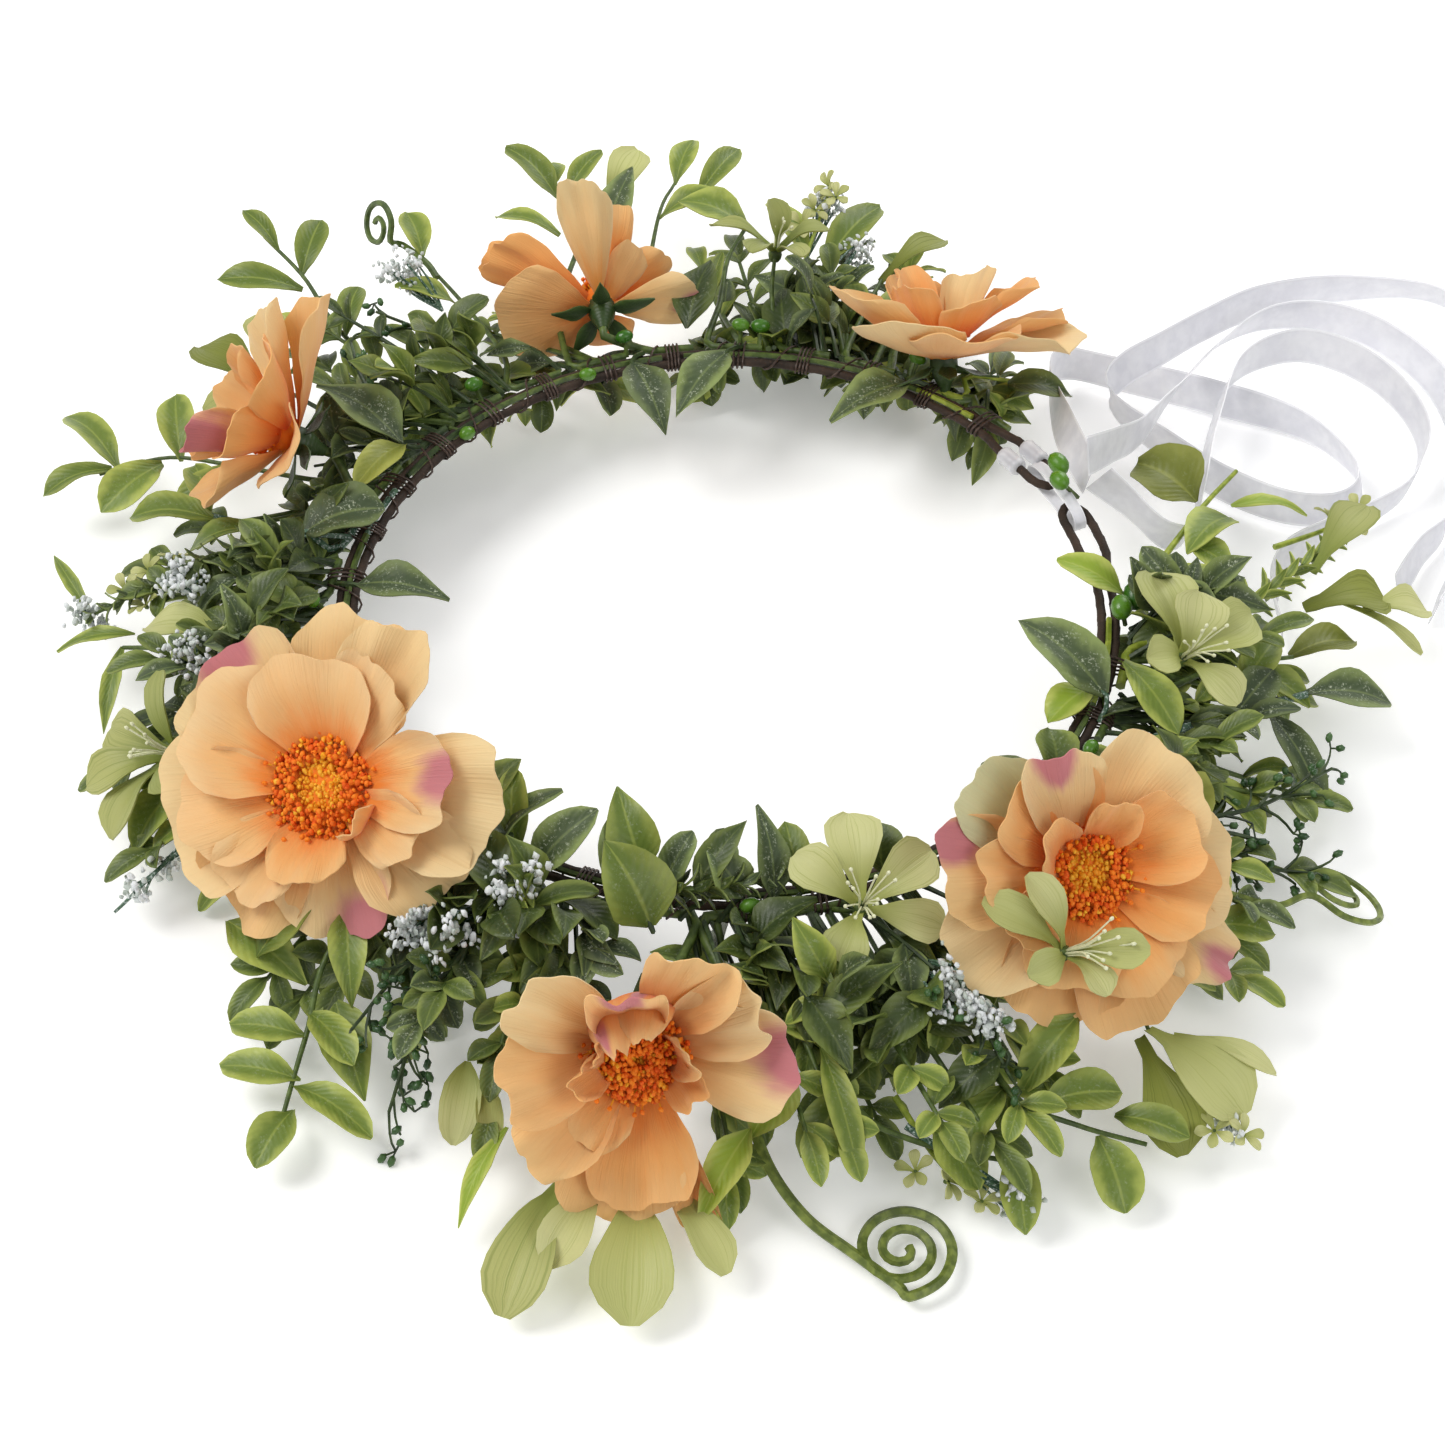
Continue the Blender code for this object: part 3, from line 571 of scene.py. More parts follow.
def blade(piece, look, base, tip, width, roll=0.0, shape="box", arch=0.12, fold=0.29,
          wave=0.05, thick=0.34, up=UP, rows=11, cols=7):
    """A leaf from base to tip. roll turns its face about its length; arch lifts its middle."""
    base, tip = np.asarray(base, float), np.asarray(tip, float)
    length = np.linalg.norm(tip - base)
    ahead = (tip - base) / length
    face = unit(up - ahead * up.dot(ahead))
    side = np.cross(ahead, face)
    a = math.radians(roll)
    face, side = turned(face, side, a), side * math.cos(a) - face * math.sin(a)
    v = np.linspace(0, 1, rows)
    centre = (base + ahead * (length * v)[:, None]
              + face * (length * (arch * np.sin(np.pi * v)))[:, None])
    along = tangents(centre)
    sides = side - along * np.sum(side * along, axis=1)[:, None]
    sides /= np.linalg.norm(sides, axis=1)[:, None]
    normal = np.cross(sides, along)
    half = width / 2 * np.interp(v, *zip(*OUTLINES[shape]))
    u = np.linspace(-1, 1, cols)
    tone = piece.draw.random()
    phase = piece.draw.uniform(0, 6.3)
    lift = (fold * np.abs(u)[None, :] ** 1.15 * half[:, None]
            + wave * width * np.sin(v * 9 + phase)[:, None] * np.sign(u) * u ** 2)
    grid = (centre[:, None, :] + sides[:, None, :] * (u[None, :, None] * half[:, None, None])
            + normal[:, None, :] * lift[..., None])
    normals = np.broadcast_to(normal[:, None, :], grid.shape)
    piece.shell(look, grid, normals, thick, np.abs(u)[None, :], v[:, None], tone)


def stem(piece, look, points, thick, thin, sides=6, spacing=3.0):
    points = np.array(points, float)
    centres = spline(points, max(4, int(whole_length(points) / spacing)))
    piece.tube(look, centres, np.linspace(thick, thin, len(centres)), sides,
               piece.draw.random())
    return centres


def hoop_tail(angle, way=1, leaving=5.2, drop=0.0):
    """The bound end of a stem on the outside of the hoop, and the bend with which it leaves."""
    return [polar(angle - 3.6 * way, TAIL_RADIUS, HOOP_HEIGHT),
            polar(angle, TAIL_RADIUS, HOOP_HEIGHT),
            polar(angle + 2.8 * way, TAIL_RADIUS + 0.1, HOOP_HEIGHT),
            polar(angle + leaving * way, LEAVING_RADIUS, HOOP_HEIGHT - drop)]


def slot_angle(slot):
    return FIRST_TURN_DEG + TURN_PITCH_DEG * slot


def spiral(centre, radius, turns, side, rise):
    """Points from a curl's outside to its middle, in the plane of side and rise."""
    t = np.linspace(0, 1, int(turns * 18))
    a = t * turns * 2 * np.pi
    r = radius + (COIL_INNER_RADIUS - radius) * t
    return np.asarray(centre) + np.outer(r * np.cos(a), side) + np.outer(r * np.sin(a), rise)


# ---------------------------------------------------------------- camera, light and floor
VIEW_FROM = (0.4486, -0.2092, 0.523)
VIEW_TO = (0.0349, -0.0174, 0.028)
LENS_MM = 71.6
WORLD_STRENGTH = 0.48
# place, target, width, power and colour
LIGHTS = {
    "key": ((-0.35, -0.75, 1.15), (0, 0, 0.02), 0.8, 12.0, (1.0, 0.99, 0.97)),
    "fill": ((1.1, 0.35, 0.9), (0, 0, 0.02), 0.8, 5.0, (0.98, 0.99, 1.0)),
    "back": ((-0.7, 0.95, 0.75), (0, 0, 0.03), 0.8, 6.0, (1, 1, 1)),
}
FLOOR_HALF = 3.0
FLOOR_HEIGHT = -0.0004


def put(name, data, place, target):
    """A lamp or camera at a place, turned towards its target."""
    made = bpy.data.objects.new(name, data)
    made.location = place
    bpy.context.scene.collection.objects.link(made)
    made.rotation_mode = "QUATERNION"
    made.rotation_quaternion = (Vector(target) - made.location).to_track_quat("-Z", "Y")
    return made


def build_stage():
    scene = bpy.context.scene
    data = bpy.data.cameras.new("view")
    data.lens = LENS_MM
    data.sensor_width = 36.0
    data.clip_start = 0.01
    data.clip_end = 20.0
    scene.camera = put("view", data, VIEW_FROM, VIEW_TO)
    scene.view_settings.view_transform = "Standard"
    world = bpy.data.worlds.new("studio")
    scene.world = world
    world.use_nodes = True
    background = world.node_tree.nodes["Background"]
    background.inputs["Color"].default_value = (1, 1, 1, 1)
    background.inputs["Strength"].default_value = WORLD_STRENGTH
    for name, (place, target, width, power, colour) in LIGHTS.items():
        data = bpy.data.lights.new(name, "AREA")
        data.shape = "DISK"
        data.size = width
        data.energy = power
        data.color = colour
        put(name, data, place, target)
    mesh = bpy.data.meshes.new("floor")
    corners = ((-1, -1), (1, -1), (1, 1), (-1, 1))
    mesh.from_pydata([(x * FLOOR_HALF, y * FLOOR_HALF, FLOOR_HEIGHT) for x, y in corners], [],
                     [(0, 1, 2, 3)])
    floor = bpy.data.objects.new("floor", mesh)
    scene.collection.objects.link(floor)
    paper = Look("white paper", Roughness=0.9, Specular_IOR_Level=0.1, Emission_Strength=0.22)
    fibre = paper.noise(60.0, 3.0)
    paper.set("Base Color", paper.mix(fibre, (0.95, 0.95, 0.95), (0.97, 0.97, 0.97)))
    mesh.materials.append(paper.material)


# ---------------------------------------------------------------- the hoop
def strand_offset(from_tip):
    """Half the distance between the two strands, by degrees from the tip of an end loop."""
    return np.interp(from_tip, (0.0, 0.5, 1.5, 3.5, 11.0, 14.0, 16.5),
                     (0.0, 1.5, 2.6, STRAND_OFFSET, STRAND_OFFSET, 2.2, 1.65))


def hoop_line():
    """The doubled wire: along the inner strand to one loop, back along the outer, and on."""
    start = TIE_DEG + LOOP_TIP_DEG
    end = TIE_DEG + 360.0 - LOOP_TIP_DEG

    def strand(first, last, sign):
        angles = np.linspace(first, last, max(2, int(abs(last - first) / 0.6)))
        from_tip = np.minimum(angles - start, end - angles)
        radius = HOOP_RADIUS + sign * strand_offset(from_tip)
        a = np.radians(angles)
        return np.stack([radius * np.cos(a), radius * np.sin(a),
                         np.full(len(a), HOOP_HEIGHT)], 1)

    return np.vstack([strand(WIRE_JOIN_DEG - 0.5, start + 0.3, -1), strand(start, end, 1),
                      strand(end - 0.3, WIRE_JOIN_DEG + 0.5, -1)])


def build_hoop():
    """Two strands with the laps of their paper tape, and the binding wire round both."""
    route = hoop_line()
    spacing = 1.0
    sides, lap, lap_step, core = 12, 5.2, 0.20, STRAND_RADIUS - 0.28
    centres = spline(route, int(whole_length(route) / spacing))
    along = tangents(centres)
    reach = lengths(centres)
    a = 2 * np.pi * np.arange(sides) / sides
    turn = (reach[:, None] / lap + a[None, :] / (2 * np.pi)) % 1.0
    radius = core + lap_step * turn ** 3
    points = centres[:, None, :] + ring(along, side_vectors(along, UP), a) * radius[..., None]
    n = len(centres)
    wrap = Piece("hoop_tape", 3)
    wrap.add(points.reshape(-1, 3), tube_faces(n, sides), TAPE,
             marks((n, sides), 0.0, (reach / reach[-1])[:, None], turn))
    wrap.make("hoop_paper_wrap", slot="paper_tape")

    turns = Piece("hoop_binding", 4)
    line = []
    out, up = BINDING_HALF_SIZE

    def wind(first, sweep, steps):
        for step in steps:
            angle = first + sweep * (step / steps.stop)
            a = math.radians(step * 360 / WINDING_STEPS)
            line.append(polar(angle, BINDING_RADIUS + out * math.cos(a),
                              HOOP_HEIGHT + up * math.sin(a)))

    for k in range(TURNS):
        middle = slot_angle(k)
        wind(middle - 1.1, 2.4, range((3 + k % 2) * WINDING_STEPS))
        if k < TURNS - 1:
            wind(middle + 1.3, TURN_PITCH_DEG - 2.4, range(1, WINDING_STEPS))
    turns.tube(BINDING, np.array(line), 0.30, 5)
    turns.make("binding_wire", slot="binding_wire")


def build_knot():
    """The ribbon band through both end loops, and two sleeves of ribbon round one loop."""
    around, wide = 40, 7
    a = np.linspace(0, 2 * np.pi, around, endpoint=False)
    x = np.sign(np.cos(a)) * KNOT_HALF_SIZE[0] * np.abs(np.cos(a)) ** 0.55
    z = np.sign(np.sin(a)) * KNOT_HALF_SIZE[1] * np.abs(np.sin(a)) ** 0.7
    y = np.sqrt(HOOP_RADIUS ** 2 - x ** 2)
    centres = np.stack([x, y, HOOP_HEIGHT + z], 1)
    out = np.stack([np.cos(a) * 0.35, np.zeros(around), np.sin(a)], 1)
    out /= np.linalg.norm(out, axis=1)[:, None]
    across = np.linspace(-1, 1, wide)
    crease = 0.10 * np.cos(across * 6)
    layers = [centres[:, None, :] + across[None, :, None] * np.array((0, 1.6, 0))
              + out[:, None, :] * (layer + crease[None, :, None]) for layer in (0.32, -0.05)]
    n = around * wide
    faces = []
    for k in range(around):
        m = (k + 1) % around
        for j in range(wide - 1):
            q = (k * wide + j, k * wide + j + 1, m * wide + j + 1, m * wide + j)
            faces += [q, tuple(n + i for i in reversed(q))]
        faces.append((m * wide, n + m * wide, n + k * wide, k * wide))
        here, there = (k + 1) * wide - 1, (m + 1) * wide - 1
        faces.append((here, n + here, n + there, there))
    band = Piece("ribbon_band", 5)
    band.add(np.concatenate([layer.reshape(-1, 3) for layer in layers]), faces, RIBBON,
             marks((2, around, wide), (across + 1) / 2,
                   np.linspace(0, 0.05, around)[:, None], 0.0))
    band.make("ribbon_knot", slot="ribbon")

    for name, sign, at in (("ribbon_sleeve_outer", 1, 97.6), ("ribbon_sleeve_inner", -1, 98.4)):
        sleeve = Piece(name, 6)
        centres = np.array([polar(w, HOOP_RADIUS + sign * STRAND_OFFSET, HOOP_HEIGHT)
                            for w in np.linspace(at, at + 4.4, 9)])
        radius = np.array((2.0, 2.5, 2.35, 2.3, 2.45, 2.35, 2.3, 2.55, 2.1))
        sleeve.tube(RIBBON, centres, radius, 12)
        sleeve.make(slot="ribbon")


# ---------------------------------------------------------------- the ribbon's free tails
# points in millimetres, length in metres, and how far the ribbon leans as it runs
TAILS = {
    "ribbon_tail_a": ((
        (0, 101, 31), (-22, 107, 27), (-52, 120, 16), (-64, 133, 8), (-54, 147, 6), (-36, 164, 6),
        (-17, 179, 6), (1, 183, 6), (12, 179, 6), (15, 169, 6), (8, 157, 6), (-8, 147, 6),
        (-26, 140, 8), (-36, 134, 12), (-42, 133, 16), (-46, 140, 17.5), (-49, 152, 17.5),
        (-53, 169, 17.5), (-55, 189, 17.5), (-49, 214, 17.5), (-35, 235, 17.5), (-5, 237, 17.5),
        (24, 221, 14), (39, 199, 8), (48, 184, 6), (58, 171, 6)), 0.50, 20.0),
    "ribbon_tail_b": ((
        (4, 101, 34), (9, 106, 29), (17, 113, 22), (17, 121, 17.5), (7, 131, 17.5),
        (-15, 148, 17.5), (-33, 167, 17.5), (-35, 186, 17.5), (-24, 197, 17.5), (-7, 201, 17.5),
        (8, 200, 14), (17, 191, 8), (20, 179, 6), (22, 163, 6), (25, 148, 6), (34, 138, 6),
        (48, 132, 6)), 0.255, -16.0),
    "ribbon_tail_c": ((
        (4, 97, 43), (-4, 110, 35), (-14, 125, 26), (-30, 145, 19), (-44, 167, 17.5),
        (-48, 185, 17.5), (-42, 200, 17.5), (-28, 210, 17.5), (-8, 216, 14), (12, 212, 8),
        (31, 194, 6), (38, 180, 6), (47, 167, 6)), 0.243, 24.0),
}
POINTS_PER_METRE = 500


def build_tail(name, route, length, lean):
    count = int(length * POINTS_PER_METRE)
    centres = spline(route, count)
    along = tangents(centres)
    reach = np.linspace(0, length, count)
    tilt = np.radians(lean * np.sin(reach * 34.0 + lean) + 6 * np.sin(reach * 90.0))
    flat = np.cross(along, UP)
    flat /= np.linalg.norm(flat, axis=1)[:, None]
    rise = np.cross(flat, along)
    wide = rise * np.cos(tilt)[:, None] + flat * np.sin(tilt)[:, None]
    face = np.cross(wide, along)
    u = np.linspace(-1, 1, 5)
    curve = 0.25 * np.sin(reach * 60.0)
    grid = (centres[:, None, :] + wide[:, None, :] * (u[None, :, None] * RIBBON_WIDTH / 2)
            + face[:, None, :] * (curve[:, None] * (u ** 2)[None, :])[..., None])
    normals = np.broadcast_to(face[:, None, :], grid.shape)
    tail = Piece(name + "_satin", 7)
    tail.shell(RIBBON, grid, normals, RIBBON_THICKNESS, (u[None, :] + 1) / 2,
               reach[:, None] / length, 0.5)
    made = tail.make(name, slot="ribbon")


# ---------------------------------------------------------------- the blooms
GOLDEN_ANGLE = 2.39996
PETAL_THICKNESS = 0.30
RAGGED_RIM = 0.05
LOOSE_STAMENS = 22
SEPAL_LENGTH = 12.5


def bloom_frame(axis):
    """Right and up as seen by someone who looks at the bloom's face."""
    right = unit(np.cross(UP, axis))
    return right, np.cross(axis, right)


def petal(piece, look, centre, axis, azimuth, length, spread, rises, ruffle, cup, lift, blush,
          start):
    """One lobe of a die-cut layer: a fan of a half angle, bent from one rise to another."""
    rows, cols = ((20, 33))
    right, up = bloom_frame(axis)
    u = np.linspace(-1, 1, cols)
    v = np.linspace(0, 1, rows) ** 0.85
    p = [piece.draw.uniform(0, 6.3) for _ in range(6)]
    reach = length * (1 - 0.24 * np.abs(u) ** 3.6)
    rim = (0.6 * np.sin(3.4 * u + p[0]) + 0.45 * np.sin(8.1 * u + p[1])
           + 0.16 * np.sin(19.0 * u + p[2]) - 0.10 * np.abs(np.sin(15.0 * u + p[3])))
    reach = reach * (1 + RAGGED_RIM * rim)
    rho = v[:, None] * reach[None, :]
    half = math.radians(spread) * np.interp(v, (0, 0.30, 0.75, 1), (0.74, 1.08, 1.10, 0.98))
    theta = math.radians(azimuth) + half[:, None] * u[None, :]
    s = np.linspace(0, 1.25, 64)
    e = np.radians(rises[0] + (rises[1] - rises[0]) * s)
    step = length * (s[1] - s[0])
    run = np.concatenate([[0], np.cumsum(np.cos(e[:-1]) * step)])
    height = np.concatenate([[0], np.cumsum(np.sin(e[:-1]) * step)])
    share = rho / length
    x = start + np.interp(share, s, run)
    h = lift + np.interp(share, s, height)
    tilt = np.interp(share, s, e)
    out = np.cos(theta)[..., None] * right + np.sin(theta)[..., None] * up
    normal = -np.sin(tilt)[..., None] * out + np.cos(tilt)[..., None] * axis
    vv = v[:, None]
    move = (cup * length * (u[None, :] ** 2) * vv
            + ruffle * length * (0.050 * np.sin(4.2 * u[None, :] + p[3]) * vv ** 2
                                 + 0.022 * np.sin(9.5 * u[None, :] + p[4] + 2 * vv) * vv ** 2.5
                                 + 0.012 * np.sin(13.0 * vv + p[5]) * vv))
    grid = centre + out * x[..., None] + axis * h[..., None] + normal * move[..., None]
    stain = 0.0
    if blush is not None:
        u0, v0, size = blush
        stain = np.exp(-((u[None, :] - u0) ** 2 / (size * 1.3) ** 2
                         + (vv - v0) ** 2 / (size * 0.8) ** 2))
    piece.shell(look, grid, normal, PETAL_THICKNESS, np.abs(u)[None, :], vv,
                piece.draw.random(), stain)


def heart(piece, centre, axis, radius, lift, middle, bulge, count):
    """A ring of flocked granules round an amber middle, and loose stamens at its rim."""
    right, up = bloom_frame(axis)
    draw = piece.draw
    piece.ball(FLOCK, centre + axis * (lift - 1.2), (radius * 0.88, radius * 0.88, 4.0), axis, 2,
               0.55)
    for i in range(count):
        share = math.sqrt((i + 0.5) / count)
        out = turned(right, up, i * GOLDEN_ANGLE + draw.uniform(-0.15, 0.15))
        inside = share < middle
        dome = 0.35 if inside else math.sin(math.pi * min(1.0, 0.25 + 0.75 * share) ** 1.2)
        high = lift + 1.2 + bulge * max(0.0, dome) + draw.uniform(-0.5, 0.9)
        at = centre + out * (radius * share) + axis * high
        s = draw.uniform(0.42, 0.85)
        lean = axis + out * draw.uniform(-0.8, 0.8)
        piece.ball(FLOCK_YELLOW if inside or draw.random() < 0.14 else FLOCK, at,
                   (s, s * 0.8, s * 1.25), lean, 1, draw.random(), 0.30)
    for k in range(LOOSE_STAMENS):
        out = turned(right, up, 2 * math.pi * k / LOOSE_STAMENS + draw.uniform(-0.1, 0.1))
        top = (centre + out * radius * draw.uniform(0.95, 1.18)
               + axis * (lift + 1.6 + bulge * draw.uniform(0.3, 0.9)))
        line = spline([centre + out * radius * 0.5 + axis * lift,
                       centre + out * radius * 0.9 + axis * (lift + 1.4), top], 5)
        piece.tube(FLOCK_YELLOW, line, 0.2, 4)
        piece.ball(FLOCK, top, (0.62, 0.62, 0.85), axis, 1, draw.random(), 0.2)


def calyx(piece, slot, centre, axis):
    """The cup behind the petals, five sepals, and the stem down to its place on the hoop."""
    right, up = bloom_frame(axis)
    cup = np.array([centre - axis * d for d in (-1.6, 1.6, 4.2, 6.4, 8.4)])
    piece.tube(CALYX, cup, np.array((3.6, 3.7, 3.1, 2.0, 1.35)), 14, 0.3)
    for j in range(5):
        out = turned(right, up, 2 * math.pi * j / 5 + 0.3)
        start = centre - axis * 1.4 + out * 2.6
        tip = start + unit(out - axis * piece.draw.uniform(0.10, 0.42)) * SEPAL_LENGTH
        blade(piece, CALYX, start, tip, 5.0, 0, "ovate", -0.08, 0.15, up=axis, rows=9)
    route = [centre - axis * 7.8, centre - axis * 11.0] + hoop_tail(slot_angle(slot))[::-1]
    stem(piece, STEM, route, 1.3, 1.0, 7)


# name, slot, angle, radius, height, azimuth and elevation of the face
BLOOMS = {
    "bloom_1": (16, 284.0, 113.0, 41.0, 310.0, 52.0),
    "bloom_2": (20, 327.3, 136.0, 31.5, 335.0, 38.0),
    "bloom_3": (24, 13.8, 122.0, 41.5, 350.0, 48.0),
    "bloom_4": (10, 220.0, 121.0, 36.0, 245.0, 30.0),
    "bloom_5": (5, 172.5, 112.0, 33.0, 160.0, 2.0),
    "bloom_6": (0, 121.0, 101.0, 35.0, 160.0, 55.0),
}
# per petal: azimuth, length, half angle, rise at root and rim, ruffle, fabric, then for some
# petals the pink stain (across, along, size) and the radius at which the petal starts
OUTER = {
    "bloom_1": (
        (92, 40, 31, 24, 4, 0.9, "cream"), (74, 41, 24, 30, 12, 1.0, "cream"),
        (152, 39, 34, 26, 4, 0.9, "cream", (-0.1, 0.98, 0.34)),
        (210, 40, 38, 18, -12, 1.1, "cream"), (250, 36, 30, 18, -14, 1.2, "peach"),
        (298, 33, 32, 16, -8, 1.1, "cream", (0.3, 0.98, 0.45)), (10, 43, 29, 20, 2, 1.0, "cream"),
        (342, 39, 26, 22, -4, 1.2, "cream"),
    ),
    "bloom_2": (
        (186, 36, 30, 46, 34, 0.9, "peach"), (142, 42, 25, 48, 44, 0.8, "cream"),
        (98, 38, 34, 58, 64, 1.0, "peach", (0.0, 0.95, 0.36)), (58, 37, 28, 44, 40, 1.2, "peach"),
        (30, 36, 26, 42, 34, 1.0, "cream"), (4, 37, 32, 38, 22, 0.9, "cream", (0.0, 1.0, 0.44)),
        (262, 37, 32, 24, 4, 0.9, "peach"), (290, 42, 9, 20, -8, 1.6, "deep"),
        (222, 34, 26, 34, 20, 1.1, "peach"),
    ),
    "bloom_3": (
        (133, 37, 25, 30, 14, 0.8, "green"),
        (104, 36, 28, 44, 34, 0.8, "cream", (0.0, 0.95, 0.36)), (40, 34, 38, 28, 14, 0.9, "cream"),
        (168, 39, 28, 33, 14, 0.9, "peach", (-0.4, 0.92, 0.34)),
        (202, 36, 32, 22, 0, 1.0, "cream"), (350, 34, 34, 20, 2, 1.0, "cream"),
        (316, 40, 17, 16, -6, 1.2, "cream", (0, 1.0, 0.34)), (284, 37, 32, 16, -8, 1.0, "peach"),
        (245, 34, 34, 18, -4, 1.1, "peach"),
    ),
    "bloom_4": (
        (116, 36, 30, 8, 20, 0.9, "peach"), (146, 33, 30, 24, 40, 0.9, "cream"),
        (2, 30, 44, 56, 72, 0.8, "peach", (-0.1, 0.95, 0.75)), (30, 26, 34, 18, 6, 1.0, "peach"),
        (318, 28, 40, 30, 44, 1.0, "peach"), (204, 24, 36, 44, 60, 0.9, "peach"),
    ),
    "bloom_5": (
        (83, 34, 17, 16, 24, 1.0, "cream"), (350, 26, 52, -10, 14, 0.6, "peach"),
        # the deep petal at azimuth 8 lies behind the cupped petals; its darker fabric is painted
        # shade
        (186, 24, 26, 0, 12, 0.8, "cream", (0.0, 1.0, 0.36)), (8, 33, 20, 24, 36, 0.8, "deep"),
        (268, 17, 40, 8, 26, 0.8, "deep"), (136, 17, 30, 30, 46, 0.8, "peach"),
    ),
    "bloom_6": (
        (4, 33, 52, 26, 46, 0.7, "peach"), (52, 29, 46, 10, 34, 0.8, "cream"),
        (100, 29, 42, 4, 24, 0.9, "peach"), (152, 34, 34, 12, 0, 1.0, "cream"),
        (184, 31, 28, 22, 10, 1.0, "peach"), (232, 28, 30, 44, 54, 0.9, "cream"),
        (290, 28, 30, 40, 52, 0.9, "peach"),
    ),
}
INNER = {
    "bloom_1": (
        (108, 28, 44, 46, 22, 0.9, "pale"), (166, 31, 40, 36, 8, 1.0, "pale"),
        (18, 31, 26, 34, 8, 0.9, "pale", (0.1, 0.98, 0.42)), (76, 29, 28, 40, 16, 1.1, "pale"),
        (212, 29, 34, 30, 4, 1.1, "pale"), (250, 27, 26, 26, -2, 1.3, "pale"),
        (283, 21, 32, 36, 30, 1.4, "cream"), (350, 27, 22, 36, 14, 1.2, "pale"),
        (338, 15, 20, 62, 96, 1.2, "cream", None, 12.5),
    ),
    "bloom_2": (
        (150, 24, 28, 70, 82, 0.9, "deep"),
        (118, 30, 26, 62, 138, 0.5, "peach", (0.4, 0.75, 0.3), 11),
        (84, 28, 26, 60, 134, 0.5, "cream", (0.2, 0.4, 0.24), 11.5),
        (12, 23, 30, 66, 74, 0.8, "peach"), (335, 22, 26, 60, 62, 0.9, "deep"),
        (238, 20, 26, 38, 14, 1.0, "cream"), (272, 31, 28, 26, 8, 1.0, "peach"),
        (190, 24, 26, 64, 70, 1.0, "deep"),
    ),
    "bloom_3": (
        (118, 29, 42, 46, 26, 0.8, "peach"), (138, 20, 38, 56, 60, 0.9, "peach"),
        (172, 28, 26, 40, 24, 1.0, "peach"), (206, 24, 24, 40, 30, 1.2, "peach"),
        (58, 20, 28, 56, 50, 1.2, "cream"), (14, 25, 34, 36, 24, 1.0, "peach"),
        (336, 27, 32, 28, 10, 1.1, "cream"), (290, 27, 36, 24, 4, 1.1, "peach"),
        (245, 25, 34, 28, 8, 1.1, "peach"),
    ),
    "bloom_4": (
        (85, 28, 34, 22, 50, 0.9, "deep"), (20, 24, 34, 40, 50, 0.9, "deep"),
        (330, 24, 34, 56, 66, 0.9, "peach"), (140, 24, 34, 50, 62, 0.9, "peach"),
    ),
    "bloom_5": (
        (22, 31, 22, 12, 20, 0.9, "deep"), (180, 22, 36, 30, 40, 0.9, "peach"),
        (270, 18, 36, 34, 44, 0.9, "deep"), (95, 26, 34, 36, 44, 0.9, "peach"),
    ),
    "bloom_6": (
        (40, 22, 40, 44, 66, 0.9, "peach"), (120, 20, 40, 36, 46, 0.9, "cream"),
        (180, 27, 34, 40, 30, 1.0, "peach"), (310, 24, 40, 54, 70, 0.9, "peach"),
    ),
}
CUPPED = {"bloom_4": 0.13, "bloom_5": 0.13, "bloom_6": 0.10}
BLOOM_SCALE = {"bloom_1": 0.97, "bloom_2": 0.95, "bloom_3": 0.93}
HEARTS = {"bloom_1": 13.0, "bloom_2": 10.6, "bloom_3": 10.6, "bloom_4": 6.5, "bloom_5": 5.0,
          "bloom_6": 7.0}
# height over the petals' root, share that is amber, and bulge of the ring
HEART_SHAPE = (4.6, 0.46, 3.0)
HEART_SHAPES = {"bloom_2": (6.5, 0.10, 4.6)}
# deep petals take the deeper orange copy, which is partly painted shade for petals behind others
INNER_FABRICS = {"peach": PETAL_INNER, "deep": PETAL_DEEP_AND_SHADED, "cream": PETAL_INNER,
                 "pale": PETAL_PALE}
FABRICS = {"peach": PETAL, "deep": PETAL_DEEP_AND_SHADED, "cream": PETAL_CREAM, "green": PETAL_GREEN}


def build_petals(name, layer, table, fabrics, lift, start, seed, centre, axis):
    piece = Piece(f"{name}_{layer}_fabric", seed)
    for i, row in enumerate(table[name]):
        azimuth, length, spread, low, high, ruffle, fabric = row[:7]
        blush, own_start = (*row[7:], None, None)[:2]
        petal(piece, fabrics[fabric], centre, axis, azimuth, length * BLOOM_SCALE.get(name, 1.0),
              spread, (low, high), ruffle, CUPPED.get(name, 0.07), lift + 0.35 * (i % 3), blush,
              own_start or start)
    piece.make(f"{name}_{layer}", slot="petal_fabric")


def build_blooms():
    for k, (name, (slot, angle, radius, height, azimuth, elevation)) in enumerate(BLOOMS.items()):
        place = polar(angle, radius, height), heading(azimuth, elevation)
        size = HEARTS[name]
        build_petals(name, "outer_petals", OUTER, FABRICS, 0.0, 2.3, 10 * k, *place)
        build_petals(name, "inner_petals", INNER, INNER_FABRICS, 2.2, 0.42 * size, 10 * k + 2,
                     *place)
        middle = Piece(f"{name}_flock", 100 + k)
        heart(middle, *place, size, *HEART_SHAPES.get(name, HEART_SHAPE),
              int((52) * size))
        middle.make(f"{name}_stamens", slot="stamen_flock")
        cup = Piece(f"{name}_calyx_leaves", 120 + k)
        calyx(cup, slot, *place)
        cup.make(f"{name}_calyx", slot="calyx_plastic")


